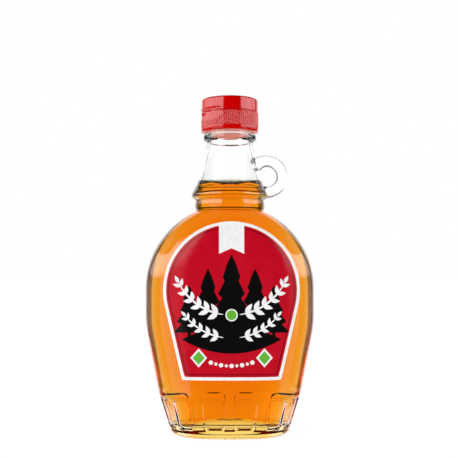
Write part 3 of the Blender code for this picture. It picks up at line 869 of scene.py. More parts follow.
def combine(target, tool, operation):
    """Applies a Boolean to the target and removes the tool."""
    modifier = target.modifiers.new(operation.title(), "BOOLEAN")
    modifier.operation = operation
    modifier.solver = "EXACT"
    modifier.object = tool
    bpy.context.view_layer.objects.active = target
    bpy.ops.object.modifier_apply(modifier=modifier.name)
    bpy.data.objects.remove(tool, do_unlink=True)


def settle(piece, slot, *nodes):
    """Puts a finished piece on the body in place of solids; the slot argument is not used."""
    if nodes:
        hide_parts(*nodes)
    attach(piece, BODY)


def node_group(name, inputs):
    """A Geometry Nodes tree and its named inputs."""
    group = bpy.data.node_groups.new(name, "GeometryNodeTree")
    for label, kind in inputs.items():
        group.interface.new_socket(name=label, in_out="INPUT", socket_type=kind)
    group.interface.new_socket(name="Geometry", in_out="OUTPUT", socket_type="NodeSocketGeometry")
    tree = Tree(group)
    entry = group.nodes.new("NodeGroupInput")
    return group, tree, {s.name: Value(tree, s) for s in entry.outputs if s.name}


def end_group(tree, shape, finish):
    """Ends a Geometry Nodes tree in real geometry with its material."""
    real = tree.add("GeometryNodeRealizeInstances", {}, {"Geometry": shape})
    painted = tree.add("GeometryNodeSetMaterial", {}, {"Geometry": real, "Material": finish})
    end = tree.nodes.nodes.new("NodeGroupOutput")
    tree.nodes.links.new(painted.socket, end.inputs[0])


def grown_mesh(group, values):
    """The plain mesh that a Geometry Nodes tree makes from its inputs' values."""
    holder = add_object(group.name, bpy.data.meshes.new(group.name))
    modifier = holder.modifiers.new(group.name, "NODES")
    modifier.node_group = group
    for item in group.interface.items_tree:
        if item.item_type == "SOCKET" and item.in_out == "INPUT":
            modifier[item.identifier] = values[item.name]
    evaluated = holder.evaluated_get(bpy.context.evaluated_depsgraph_get())
    mesh = bpy.data.meshes.new_from_object(evaluated)
    bpy.data.objects.remove(holder, do_unlink=True)
    return mesh


def loop_group(finish):
    """The finger loop: an oval tube along an arc, thicker at its roots."""
    group, tree, given = node_group("finger_loop", {
        "Centre": "NodeSocketVector",
        "Radius": "NodeSocketFloat",
        "Half Turn": "NodeSocketFloat",
        "Half Height": "NodeSocketFloat",
        "Half Depth": "NodeSocketFloat",
        "Root Start": "NodeSocketFloat",
        "Root Growth": "NodeSocketFloat",
    })
    arc = tree.add("GeometryNodeCurveArc", {"mode": "RADIUS"}, {
        "Resolution": LOOP_STEPS + 1,
        "Radius": given["Radius"],
        "Start Angle": -given["Half Turn"],
        "Sweep Angle": given["Half Turn"] * 2.0,
    })
    upright = {"Geometry": arc, "Translation": given["Centre"], "Rotation": (math.pi / 2, 0.0, 0.0)}
    path = tree.add("GeometryNodeTransform", {}, upright)
    from_middle = (tree.add("GeometryNodeSplineParameter", {}, {}) * 2.0 - 1.0).math("ABSOLUTE")
    beyond = (from_middle - given["Root Start"]).math("MAXIMUM", 0.0)
    growth = 1.0 + given["Root Growth"] * beyond
    circle = tree.add("GeometryNodeCurvePrimitiveCircle", {}, {"Resolution": LOOP_SIDES, "Radius": 1.0})
    size = tree.vector(given["Half Height"], given["Half Depth"], 1.0)
    oval = tree.add("GeometryNodeTransform", {}, {"Geometry": circle, "Scale": size})
    sockets = {"Curve": path, "Profile Curve": oval, "Scale": growth, "Fill Caps": True}
    end_group(tree, tree.add("GeometryNodeCurveToMesh", {}, sockets), finish)
    return group


def rib_group(finish):
    """The cap's ribs: upright bars round a circle, shorter under the thumb scoop."""
    group, tree, given = node_group("cap_ribs", {
        "Count": "NodeSocketInt",
        "Circle": "NodeSocketFloat",
        "Bar Radius": "NodeSocketFloat",
        "Foot": "NodeSocketFloat",
        "Top": "NodeSocketFloat",
        "Scoop Turn": "NodeSocketFloat",
        "Scoop Half Width": "NodeSocketFloat",
        "Scoop Drop": "NodeSocketFloat",
        "Scoop Top": "NodeSocketFloat",
    })
    turn = tree.add("GeometryNodeInputIndex", {}, {}) / given["Count"] * math.tau - math.pi
    away = (turn - given["Scoop Turn"]).math("SINE") * given["Circle"] / given["Scoop Half Width"]
    faces_scoop = (turn - given["Scoop Turn"]).math("COSINE").math("GREATER_THAN", 0.0)
    dip = (1.0 - away * away).math("MAXIMUM", 0.0).math("SQRT") * given["Scoop Drop"] * faces_scoop
    top = (given["Scoop Top"] - dip).math("MINIMUM", given["Top"])
    height = top - given["Foot"]
    across = turn.math("SINE") * given["Circle"]
    ahead = turn.math("COSINE") * given["Circle"] * -1.0
    place = tree.vector(across, ahead, (top + given["Foot"]) * 0.5)
    points = tree.add("GeometryNodePoints", {}, {"Count": given["Count"], "Position": place})
    sockets = {"Vertices": RIB_SIDES, "Radius": given["Bar Radius"], "Depth": 1.0}
    bar = tree.add("GeometryNodeMeshCylinder", {"fill_type": "TRIANGLE_FAN"}, sockets)
    stretch = tree.vector(1.0, 1.0, height)
    facing = tree.vector(0.0, 0.0, turn)
    sockets = {"Points": points, "Instance": bar, "Rotation": facing, "Scale": stretch}
    end_group(tree, tree.add("GeometryNodeInstanceOnPoints", {}, sockets), finish)
    return group


def web_object(finish):
    """The thin web that runs from the neck down onto the loop's upper root."""
    solid = bmesh.new()
    corners = [solid.verts.new((x, -WEB_HALF_THICKNESS, z)) for x, z in WEB_OUTLINE]
    face = solid.faces.new(corners)
    grown = bmesh.ops.extrude_face_region(solid, geom=[face])
    moved = [item for item in grown["geom"] if isinstance(item, bmesh.types.BMVert)]
    bmesh.ops.translate(solid, vec=(0.0, 2 * WEB_HALF_THICKNESS, 0.0), verts=moved)
    bevel_edges(solid, WEB_ROUND)
    bmesh.ops.recalc_face_normals(solid, faces=solid.faces)
    return add_solid("web", solid, finish)


def build_glass(settings):
    """The glass with its hollow, panels and finger loop. It shines less where syrup wets it."""
    finish = glass_material(settings, "clear_glass")
    wetted = glass_material(settings, "wetted_glass", settings.wet_shine)
    foot = glass_material(settings, "foot_glass", painted_light=colour(settings.painted_foot_light))
    places = column_places()
    rings = flask_rings(places, settings.panel_depth)
    outer_count = sum(len(ring) for ring in rings)
    rings += plain_rings(inner_rows(MOUTH_Z, 0.0)[::-1], places[::2])
    points, faces = tube(rings)
    glass = add_piece("flask_glass", points, faces, finish, wetted, foot)
    heights = [max(points[i][2] for i in face) for face in faces]
    outer = [min(face) <= outer_count for face in faces]
    slots = [2 * (z < FOOT_LIGHT_TOP_Z) if out else z < FILL_Z for out, z in zip(outer, heights)]
    glass.data.polygons.foreach_set("material_index", np.array(slots, np.int32))
    loop = grown_mesh(loop_group(finish), {
        "Centre": (LOOP_X, 0.0, LOOP_Z),
        "Radius": LOOP_RADIUS,
        "Half Turn": LOOP_HALF_TURN,
        "Half Height": LOOP_HALF_HEIGHT,
        "Half Depth": LOOP_HALF_DEPTH,
        "Root Start": LOOP_ROOT_START,
        "Root Growth": LOOP_ROOT_GROWTH,
    })
    combine(glass, add_mesh("loop", loop, finish), "UNION")
    combine(glass, web_object(finish), "UNION")
    smooth(glass.data)
    settle(glass, "glass", "bottle")


def build_syrup(settings):
    """The syrup, which reaches just into the wall, and the thin film that it leaves above its level,
    painted dark at its foot as a line of shade.
    """
    places = column_places()[::2]
    rings = plain_rings(inner_rows(FILL_Z - 2 * settings.saddle - FILL_CLEAR, settings.reach), places)
    count = len(places)
    first = 1 + len(rings) * count
    around = rings[-1][:, :2] / np.hypot(*rings[-1][:, :2].T)[:, None]
    lean = around[:, 0] ** 2 - around[:, 1] ** 2
    contact = FILL_Z - settings.saddle * (1 - lean) - FILL_DROP
    brim = np.full(count, FILL_Z)
    outer = through(BORE, FILL_Z) + settings.reach
    inner = through(BORE, FILL_Z) - settings.film_thickness
    for radius, z in ((outer, contact), (outer, brim), (inner, brim), (inner, contact)):
        rings.append(np.column_stack((around * radius, z)))
    for share in LEVEL_SHARES:
        z = FILL_Z - settings.saddle * (1 - lean * share**2) - FILL_DROP
        rings.append(np.column_stack((around * inner * share, z)))
    points, faces = tube(rings)
    syrup = add_piece("syrup_fill", points, faces, syrup_material(settings))
    films = [all(first <= i < first + 4 * count for i in face) for face in faces]
    heights = np.zeros(len(points))
    heights[first + count:first + 3 * count] = 1.0
    mesh = syrup.data
    mesh.attributes.new("film", "FLOAT", "FACE").data.foreach_set("value", np.array(films, np.float32))
    mesh.attributes.new("film_height", "FLOAT", "POINT").data.foreach_set("value", heights)
    settle(syrup, "syrup", "syrup")


def cap_profile():
    """Radius and height along the cap's wall, from the bore's roof down and up the outside."""
    valley = SKIRT_RADIUS - RIB_VALLEY
    profile = [(CAP_BORE, CAP_TOP_Z - CAP_ROOF), (CAP_BORE, CAP_FOOT_Z + SKIRT_EDGE)]
    profile.append((CAP_BORE + SKIRT_EDGE / 2, CAP_FOOT_Z))
    for sine, cosine in quarter_turn(SKIRT_EDGE_STEPS):
        profile.append((SKIRT_RADIUS - SKIRT_EDGE * (1 - sine), CAP_FOOT_Z + SKIRT_EDGE * (1 - cosine)))
    profile += [
        (SKIRT_RADIUS, RIB_FOOT_Z),
        (valley, RIB_FOOT_Z + RIB_RUN_IN),
        (valley, RIB_TOP_Z - RIB_RUN_IN),
        (SKIRT_RADIUS, RIB_TOP_Z - RIB_RUN_IN / 3),
        (SKIRT_RADIUS, RIB_TOP_Z),
        (SKIRT_RADIUS - SPLIT_DEPTH / 3, CAP_SPLIT_Z - SPLIT_HALF_HEIGHT),
        (LID_RADIUS - SPLIT_DEPTH, CAP_SPLIT_Z - SPLIT_HALF_HEIGHT / 2),
        (LID_RADIUS - SPLIT_DEPTH, CAP_SPLIT_Z + SPLIT_HALF_HEIGHT / 2),
        (LID_RADIUS - SPLIT_DEPTH / 3, CAP_SPLIT_Z + SPLIT_HALF_HEIGHT),
        (LID_RADIUS, CAP_SPLIT_Z + 2 * SPLIT_HALF_HEIGHT),
    ]
    for sine, cosine in quarter_turn(LID_EDGE_STEPS):
        profile.append((LID_RADIUS - CAP_EDGE * (1 - cosine), CAP_TOP_Z - CAP_EDGE * (1 - sine)))
    return profile + [(LID_RADIUS * share, CAP_TOP_Z) for share in LID_SHARES]


def lip_object(finish):
    """The ellipsoid of the thumb lip over the scoop."""
    solid = bmesh.new()
    bmesh.ops.create_uvsphere(solid, u_segments=LIP_SEGMENTS, v_segments=LIP_RINGS, radius=1.0)
    size = Matrix.Diagonal((LIP_HALF_WIDTH, LIP_HALF_DEPTH, LIP_HALF_HEIGHT, 1.0))
    middle_z = CAP_SPLIT_Z + SPLIT_HALF_HEIGHT + LIP_HALF_HEIGHT
    place = Matrix.Translation((0.0, LIP_HALF_DEPTH - LID_RADIUS - LIP_PROUD, middle_z))
    turn = Matrix.Rotation(SCOOP_TURN, 4, "Z")
    bmesh.ops.transform(solid, matrix=turn @ place @ size, verts=solid.verts)
    return add_solid("lip", solid, finish)


def scoop_object(finish):
    """A half-oval block whose inner face leans back, to cut the thumb scoop."""
    solid = bmesh.new()
    sides = []
    for outer_y in (-SKIRT_RADIUS - SCOOP_CLEAR, None):
        side = []
        for i in range(SCOOP_STEPS + 1):
            across, down = math.cos(math.pi * i / SCOOP_STEPS), math.sin(math.pi * i / SCOOP_STEPS)
            deep = SCOOP_DEPTH + (SCOOP_FOOT_DEPTH - SCOOP_DEPTH) * down
            y = deep - SKIRT_RADIUS if outer_y is None else outer_y
            side.append(solid.verts.new((SCOOP_HALF_WIDTH * across, y, SCOOP_TOP_Z - SCOOP_DROP * down)))
        sides.append(side)
    outer, inner = sides
    solid.faces.new(outer)
    solid.faces.new(inner[::-1])
    for i in range(SCOOP_STEPS):
        solid.faces.new((outer[i + 1], outer[i], inner[i], inner[i + 1]))
    solid.faces.new((outer[0], outer[-1], inner[-1], inner[0]))
    bmesh.ops.transform(solid, matrix=Matrix.Rotation(SCOOP_TURN, 4, "Z"), verts=solid.verts)
    bmesh.ops.recalc_face_normals(solid, faces=solid.faces)
    return add_solid("scoop", solid, finish)


def hinge_object(finish):
    """The short strap that joins the lid to the skirt, opposite the scoop."""
    solid = bmesh.new()
    bmesh.ops.create_cube(solid, size=1.0)
    size = Matrix.Diagonal((2 * HINGE_HALF_WIDTH, HINGE_THICKNESS, HINGE_HEIGHT, 1.0))
    outer_y = SKIRT_RADIUS + HINGE_PROUD
    place = Matrix.Translation((0.0, outer_y - HINGE_THICKNESS / 2, CAP_SPLIT_Z))
    turn = Matrix.Rotation(SCOOP_TURN, 4, "Z")
    bmesh.ops.transform(solid, matrix=turn @ place @ size, verts=solid.verts)
    bevel_edges(solid, HINGE_ROUND)
    return add_solid("hinge", solid, finish)


def build_cap(settings):
    """The flip-top screw cap: skirt, lid, thumb scoop and lip, hinge strap and ribs."""
    finish = cap_material(settings)
    places = np.array([4 * i / CAP_COLUMNS for i in range(CAP_COLUMNS)])
    rows = [(z, r, r, (ROUND, ROUND)) for r, z in cap_profile()]
    cap = add_piece("cap_shell", *tube(plain_rings(rows, places)), finish)
    combine(cap, lip_object(finish), "UNION")
    combine(cap, scoop_object(finish), "DIFFERENCE")
    combine(cap, hinge_object(finish), "UNION")
    smooth(cap.data, CAP_SHARP)
    settle(cap, "cap", "cap")
    bar = settings.rib_radius
    ribs = grown_mesh(rib_group(finish), {
        "Count": settings.rib_count,
        "Circle": SKIRT_RADIUS - bar,
        "Bar Radius": bar,
        "Foot": RIB_FOOT_Z,
        "Top": RIB_TOP_Z,
        "Scoop Turn": SCOOP_TURN,
        "Scoop Half Width": SCOOP_HALF_WIDTH,
        "Scoop Drop": SCOOP_DROP,
        "Scoop Top": SCOOP_TOP_Z,
    })
    settle(add_mesh("cap_ribs", ribs, finish), "cap")


def on_circle(centre, radius, turn):
    """The point of a circle at an angle."""
    return centre[0] + radius * math.cos(turn), centre[1] + radius * math.sin(turn)


def face_y(x, z, stand_off):
    """How far forward the body's front is at a place, plus a stand-off."""
    width = side_half_width(z) + stand_off
    depth = side_half_depth(z) + stand_off
    flat = flatness(z)
    return -depth * (1 - min(abs(x) / width, 1.0) ** flat[0]) ** (1 / flat[1])


def label_outline(inset):
    """The label's outline in X and Z, an arch above straight sides, moved inwards by an inset."""
    drop = LABEL_TOP_Z - LABEL_RADIUS - LABEL_FOOT_Z
    reach = math.hypot(drop, LABEL_FOOT_HALF_WIDTH)
    lean = math.asin(LABEL_RADIUS / reach) - math.atan2(LABEL_FOOT_HALF_WIDTH, drop)
    radius = LABEL_RADIUS - inset
    centre_z = LABEL_TOP_Z - LABEL_RADIUS
    touch = (radius * math.cos(lean), centre_z - radius * math.sin(lean))
    foot_z = LABEL_FOOT_Z + inset
    foot_x = touch[0] - math.tan(lean) * (touch[1] - foot_z)
    points = []
    for sine, cosine in quarter_turn(LABEL_CORNER_STEPS):
        points.append((foot_x - LABEL_CORNER * (1 - sine), foot_z + LABEL_CORNER * (1 - cosine)))
    for i in range(2, LABEL_SIDE_STEPS):
        way = i / LABEL_SIDE_STEPS
        points.append((foot_x + (touch[0] - foot_x) * way, foot_z + (touch[1] - foot_z) * way))
    for i in range(LABEL_ARC_STEPS + 1):
        turn = -lean + (math.pi / 2 + lean) * i / LABEL_ARC_STEPS
        points.append(on_circle((0.0, centre_z), radius, turn))
    mirrored = [(-x, z) for x, z in points[-2::-1]]
    return [(LABEL_X + x, z) for x, z in points + mirrored]


def disc(centre, radius, count=40):
    """A round outline."""
    return [on_circle(centre, radius, math.tau * i / count) for i in range(count)]


def leaf(x, z, turn, length, width, count=12):
    """A pointed oval leaf that grows from a point in a direction, widest a little before its middle."""
    ahead = (math.cos(turn), math.sin(turn))
    side = (-ahead[1], ahead[0])
    belly = 0.85
    outline = []
    for sign in (1, -1):
        for i in range(count):
            way = i / count if sign > 0 else 1 - i / count
            half = sign * width / 2 * math.sin(math.pi * way**belly)
            along = length * way
            outline.append((x + ahead[0] * along + side[0] * half, z + ahead[1] * along + side[1] * half))
    return outline


def ribbon(path, width):
    """A line of a given width along a path, tapered towards both ends."""
    points = np.array(path)
    ahead = np.gradient(points, axis=0)
    ahead /= np.linalg.norm(ahead, axis=1)[:, None]
    side = np.column_stack((-ahead[:, 1], ahead[:, 0]))
    way = np.linspace(0.0, 1.0, len(points))
    end_share, growth = 0.35, 3
    half = width / 2 * np.minimum(1.0, end_share + growth * np.minimum(way, 1 - way))
    left = points + side * half[:, None]
    right = points - side * half[:, None]
    return [tuple(p) for p in np.concatenate((left, right[::-1]))]


def pine(x, foot_z, height, half_width, tiers=4):
    """A plain pointed fir tree on a short trunk, with drooping tiers."""
    trunk_height, trunk_width = 0.10, 0.10  # shares of the tree's
    crown, overlap, narrowing = 0.90, 0.92, 0.82
    waist, droop, rise = 0.52, 0.035, 0.55
    trunk = half_width * trunk_width
    side = [(trunk, foot_z), (trunk, foot_z + height * trunk_height)]
    for i in range(tiers):
        low = foot_z + height * (trunk_height + crown * i / tiers * overlap)
        half = half_width * (1 - narrowing * i / tiers)
        side.append((half, low))
        side.append((half * waist, low + height * droop + height * crown / tiers * rise))
    side.append((0.0, foot_z + height))
    return [(x + dx, z) for dx, z in side] + [(x - dx, z) for dx, z in side[-2::-1]]


def sprig(centre, start, end, leaves, length, width, stem):
    """A branch along an arc, by angles in degrees, with pairs of leaves that get smaller to its tip."""
    first, shrink, spread, last = 0.6, 0.35, 0.75, 0.7
    turns = [math.radians(start + (end - start) * i / STEM_STEPS) for i in range(STEM_STEPS + 1)]
    shapes = [ribbon([on_circle(centre, SPRIG_RADIUS, turn) for turn in turns], stem)]
    way = 1 if end > start else -1
    for i in range(leaves):
        share = (i + first) / leaves
        turn = math.radians(start + (end - start) * share)
        size = 1 - shrink * share
        for lean in (spread, -spread):
            root = on_circle(centre, SPRIG_RADIUS, turn)
            shapes.append(leaf(*root, turn + way * math.pi / 2 + lean, length * size, width * size))
    tip = on_circle(centre, SPRIG_RADIUS, turns[-1])
    shapes.append(leaf(*tip, turns[-1] + way * math.pi / 2, length * last, width * last))
    return shapes


def label_art(settings):
    """The label's print as (ink, outlines), from the lowest layer up."""
    black, white, green = settings.black, settings.white, settings.green
    x = LABEL_X
    layers = [(settings.red, [label_outline(FIELD_INSET)])]
    layers.append((settings.dark, [label_outline(inset) for inset in LINE_INSETS]))
    for offset, height, half in TREES:
        foot_z = TREE_FOOT_Z - abs(offset) * TREE_FOOT_DROP
        layers.append((black, [pine(x + offset, foot_z, height, half)]))
    across = np.linspace(-1.0, 1.0, HILL_STEPS + 1)
    hill = [(x + HILL_HALF_WIDTH * t, HILL_Z + HILL_RISE * (1 - t * t)) for t in across]
    hill += [(x + HILL_HALF_WIDTH * t, HILL_Z - HILL_DROP * (1 - t * t)) for t in across[-2:0:-1]]
    layers.append((black, [hill]))
    for side in (1, -1):
        for z, turn, *sizes in SPRIGS:
            shapes = sprig((x, z), -90 + side * SPRIG_START, -90 + side * turn, *sizes)
            layers += [(white, [shape]) for shape in shapes]
    for ink, radius in zip((white, green), SPOT_RADII):
        layers.append((ink, [disc((x, SPOT_Z), radius)]))
    left, right = x - PENNANT_HALF_WIDTH, x + PENNANT_HALF_WIDTH
    top = LABEL_TOP_Z - PENNANT_TOP_GAP
    shoulder = top - PENNANT_SHOULDER
    pennant = [(left, shoulder), (left, PENNANT_TIP_Z), (x, PENNANT_NOTCH_Z), (right, PENNANT_TIP_Z)]
    layers.append((white, [pennant + [(right, shoulder), (x, top)]]))
    for side in (1, -1):
        for ink, share in ((white, 1.0), (green, DIAMOND_INNER)):
            middle = x + side * DIAMOND_X
            wide, high = DIAMOND_HALF_WIDTH * share, DIAMOND_HALF_HEIGHT * share
            diamond = [(middle - wide, DIAMOND_Z), (middle, DIAMOND_Z - high)]
            layers.append((ink, [diamond + [(middle + wide, DIAMOND_Z), (middle, DIAMOND_Z + high)]]))
    for i in range(-DOTS_EACH_SIDE, DOTS_EACH_SIDE + 1):
        dot = on_circle((x, DOT_CIRCLE_Z), DOT_CIRCLE_RADIUS, math.radians(-90 + i * DOT_TURN))
        layers.append((white, [disc(dot, DOT_RADII[i % 2], 16)]))
    return layers


def inside(outlines, points):
    """Which points lie inside the outlines, by the even-odd rule."""
    found = np.zeros(len(points), bool)
    for outline in outlines:
        a = np.array(outline)
        b = np.roll(a, -1, axis=0)
        for (ax, az), (bx, bz) in zip(a, b):
            crosses = (az > points[:, 1]) != (bz > points[:, 1])
            if az != bz:
                at = ax + (points[:, 1] - az) / (bz - az) * (bx - ax)
                found ^= crosses & (points[:, 0] < at)
    return found


def finer(outline):
    """An outline with more points along its long straight edges."""
    points = []
    for (ax, az), (bx, bz) in zip(outline, outline[1:] + outline[:1]):
        count = max(math.ceil(math.hypot(bx - ax, bz - az) / LABEL_EDGE_STEP), 1)
        points += [(ax + (bx - ax) * i / count, az + (bz - az) * i / count) for i in range(count)]
    return points


def label_triangles(layers, rim):
    """Points and triangles of the flat label, which keep to every printed edge and face forwards."""
    points = []
    edges = []
    for outline in (rim, *(outline for _, shapes in layers for outline in shapes)):
        outline = finer(outline)
        first, count = len(points), len(outline)
        points += outline
        edges += [(first + i, first + (i + 1) % count) for i in range(count)]
    grid = LABEL_GRID * np.arange(-LABEL_GRID_STEPS, LABEL_GRID_STEPS)
    heights = np.arange(LABEL_FOOT_Z, LABEL_TOP_Z, LABEL_GRID)
    spots = np.array([(LABEL_X + x, z) for z in heights for x in grid])
    points += [tuple(p) for p in spots[inside([label_outline(LABEL_GRID_INSET)], spots)]]
    made = delaunay_2d_cdt([Vector(p) for p in points], edges, [], 0, LABEL_MERGE)
    points = np.array([tuple(v) for v in made[0]])
    triangles = np.array([tuple(f) for f in made[2]])
    triangles = triangles[inside([rim], points[triangles].mean(axis=1))]
    a, b, c = (points[triangles[:, i]] for i in range(3))
    ab, ac = b - a, c - a
    clockwise = ab[:, 0] * ac[:, 1] - ab[:, 1] * ac[:, 0] < 0
    triangles[clockwise] = triangles[clockwise][:, ::-1]
    return points, triangles


def sheet_mesh(settings, spots, front):
    """The label's mesh: its front, its back and its cut edge."""
    count = len(spots)
    points = []
    for stand_off in (settings.gap + settings.thickness, settings.gap):
        points += [(x, face_y(x, z, stand_off), z) for x, z in spots]
    back = [(p + count, r + count, q + count) for p, q, r in front]
    used = {edge: True for p, q, r in front for edge in ((p, q), (q, r), (r, p))}
    sides = [(q, p, p + count, q + count) for p, q in used if (q, p) not in used]
    mesh = bpy.data.meshes.new("label_sheet")
    mesh.from_pydata(points, [], front + back + sides)
    return mesh


def print_label(settings, mesh, layers, centres):
    """Gives the front's triangles their inks, and the rest the paper's white."""
    inks = np.tile(np.array(colour(settings.white)), (len(mesh.polygons), 1))
    for ink, shapes in layers:
        inks[:len(centres)][inside(shapes, centres)] = colour(ink)
    attribute = mesh.color_attributes.new("ink", "FLOAT_COLOR", "CORNER")
    corners = np.repeat(inks, [face.loop_total for face in mesh.polygons], axis=0)
    attribute.data.foreach_set("color", corners.astype(np.float32).ravel())


def follow_glass(mesh, spots, front_count):
    """Gives the label's front and back the normals of the glass behind them."""
    slopes = []
    for x, z in spots:
        across = face_y(x - SLOPE_STEP, z, 0.0) - face_y(x + SLOPE_STEP, z, 0.0)
        upwards = face_y(x, z - SLOPE_STEP, 0.0) - face_y(x, z + SLOPE_STEP, 0.0)
        slopes.append((-across, -2 * SLOPE_STEP, -upwards))
    forward = np.array(slopes) / np.linalg.norm(slopes, axis=1)[:, None]
    normals = []
    for face in mesh.polygons:
        for vertex in face.vertices:
            if face.index < front_count:
                normals.append(forward[vertex])
            elif face.index < 2 * front_count:
                normals.append(-forward[vertex - len(spots)])
            else:
                normals.append(face.normal)
    mesh.normals_split_custom_set([tuple(n) for n in normals])


def build_label(settings):
    """The printed label: one thin sheet of paper that follows the glass."""
    layers = label_art(settings)
    spots, triangles = label_triangles(layers, label_outline(0.0))
    front = [tuple(triangle) for triangle in triangles]
    mesh = sheet_mesh(settings, spots, front)
    print_label(settings, mesh, layers, spots[triangles].mean(axis=1))
    label = add_mesh("label_sheet", mesh, paper_material(settings))
    follow_glass(mesh, spots, len(front))
    settle(label, "label", "label")


def studio_world(settings):
    """Soft light: white behind, dark in front between two tall soft boxes, and a dim ceiling."""
    world = bpy.data.worlds.new("studio")
    world.use_nodes = True
    bpy.context.scene.world = world
    tree = Tree(world.node_tree)
    path = world.node_tree.nodes.new("ShaderNodeLightPath")
    seen = Value(tree, path.outputs["Is Camera Ray"])
    through_glass = Value(tree, path.outputs["Is Transmission Ray"])
    x, y, z = tree.add("ShaderNodeTexCoord", {}, {}, "Generated").split()
    turn = x.math("ARCTAN2", -y) * (180 / math.pi)
    rise = z.math("ARCSINE") * (180 / math.pi)
    band = rise.step(*BAND_FOOT_EDGE) * (1.0 - rise.step(*BAND_TOP_EDGE)) * (1.0 - through_glass)
    far = settings.box_near + (settings.box_far - settings.box_near) * band
    ends = 1.0 - turn.math("ABSOLUTE").step(far, far + BOX_END_FADE)
    sides = (1.0 - turn.step(*BOX_LEFT_EDGE)) + turn.step(*BOX_RIGHT_EDGE)
    level = rise.step(*BOX_FOOT_EDGE) * (1.0 - rise.step(*BOX_TOP_EDGE))
    level = level * (settings.box_foot + (1.0 - settings.box_foot) * rise.step(*BOX_FULL_EDGE))
    faded = 1.0 - settings.box_fade * turn.math("ABSOLUTE").step(*BOX_REAR_EDGE)
    boxes = sides * ends * level * faded * settings.box_brightness
    away = 180.0 - turn.math("ABSOLUTE")
    behind = 1.0 - away.step(settings.back_half, settings.back_half + BACK_SIDE_FADE)
    behind = behind * (1.0 - rise.step(settings.back_top, settings.back_top + BACK_TOP_FADE))
    ceiling = (1.0 - y.step(*CEILING_BACK_EDGE)) * rise.step(*CEILING_FOOT_EDGE) * settings.ceiling
    light = boxes + behind * settings.back_brightness + ceiling + settings.dark
    soft = light.math("MAXIMUM", through_glass * settings.seen_through)
    strength = soft + seen * (1.0 - soft)
    shader = world.node_tree.nodes["Background"]
    shader.inputs["Color"].default_value = (1.0, 1.0, 1.0, 1.0)
    world.node_tree.links.new(strength.socket, shader.inputs["Strength"])


def build_stage(settings):
    """A pale floor, the studio's light and the camera."""
    size = settings.floor_size
    mesh = bpy.data.meshes.new("floor")
    corners = [(-size, -size, 0.0), (size, -size, 0.0), (size, size, 0.0), (-size, size, 0.0)]
    mesh.from_pydata(corners, [], [(0, 1, 2, 3)])
    made, tree, shader = new_material("pale_floor")
    feed(tree, shader, base_color=colour(settings.floor_colour), roughness=0.9, specular_ior_level=0.0)
    feed(tree, shader, emission_color=(1.0, 1.0, 1.0, 1.0), emission_strength=settings.floor_glow)
    mesh.materials.append(made)
    floor = add_object("floor", mesh)
    floor.visible_glossy = False
    floor.visible_transmission = False
    studio_world(settings)
    data = bpy.data.cameras.new("camera")
    data.sensor_width = 36.0
    data.lens = data.sensor_width * settings.distance / settings.frame_width
    data.shift_x = -settings.axis_right / PHOTO_SIZE
    data.shift_y = settings.horizon_below / PHOTO_SIZE
    data.clip_start = 0.01
    camera = add_object("camera", data)
    camera.location = (0.0, -settings.distance, settings.eye_height)
    camera.rotation_euler = (math.pi / 2, 0.0, 0.0)
    bpy.context.scene.camera = camera
    bpy.context.scene.view_settings.view_transform = "Standard"


class GlassSettings(bpy.types.PropertyGroup):
    """The glass."""

    tint: FloatVectorProperty(
        name="Tint", description="Colour of the glass", subtype="COLOR",
        default=(0.975, 0.99, 0.985), min=0.0, max=1.0)
    ior: FloatProperty(
        name="IOR", description="Refractive index of the glass", default=1.52)
    # Painted light: the syrup's colour that shows through the foot
    painted_foot_light: FloatVectorProperty(
        name="Foot Stain", description="Colour that the syrup gives the foot", subtype="COLOR",
        default=(0.95, 0.66, 0.16), min=0.0, max=1.0)
    panel_depth: FloatProperty(
        name="Panel Depth", description="How deep the base's panels are pressed",
        default=0.0008, unit="LENGTH", precision=5)
    wet_shine: FloatProperty(
        name="Wet Shine", description="Reflection where syrup wets the glass", default=0.0)
    ripple_scale: FloatProperty(
        name="Ripple Scale", description="Waves a metre", default=55.0)
    ripple_height: FloatProperty(
        name="Ripple Height", description="Height of the mould's waves",
        default=0.00006, unit="LENGTH", precision=6)


class SyrupSettings(bpy.types.PropertyGroup):
    """The syrup."""

    colour: FloatVectorProperty(
        name="Colour", description="What the syrup lets through", subtype="COLOR",
        default=(0.972, 0.733, 0.0), min=0.0, max=1.0)
    density: FloatProperty(
        name="Density", description="Absorption a metre", default=180.0)
    film_top: FloatVectorProperty(
        name="Film Top", description="What the film's top lets through", subtype="COLOR",
        default=(0.95, 0.95, 0.90), min=0.0, max=1.0)
    # Painted shade: the dark line along the syrup's level
    film_foot_painted_shade: FloatVectorProperty(
        name="Film Foot", description="What the film's foot lets through", subtype="COLOR",
        default=(0.02, 0.01, 0.0), min=0.0, max=1.0)
    film_thickness: FloatProperty(
        name="Film Thickness", description="Thickness of the film on the wall",
        default=0.0001, unit="LENGTH", precision=6)
    saddle: FloatProperty(
        name="Saddle", description="Half of how much lower the level is in front than at the sides",
        default=0.0015, unit="LENGTH", precision=5)
    ior: FloatProperty(
        name="IOR", description="Refractive index of the syrup", default=1.47)
    shine: FloatProperty(
        name="Shine", description="Reflection off the syrup", default=0.0)
    reach: FloatProperty(
        name="Reach", description="How far the syrup reaches into the wall",
        default=0.00015, unit="LENGTH", precision=5)


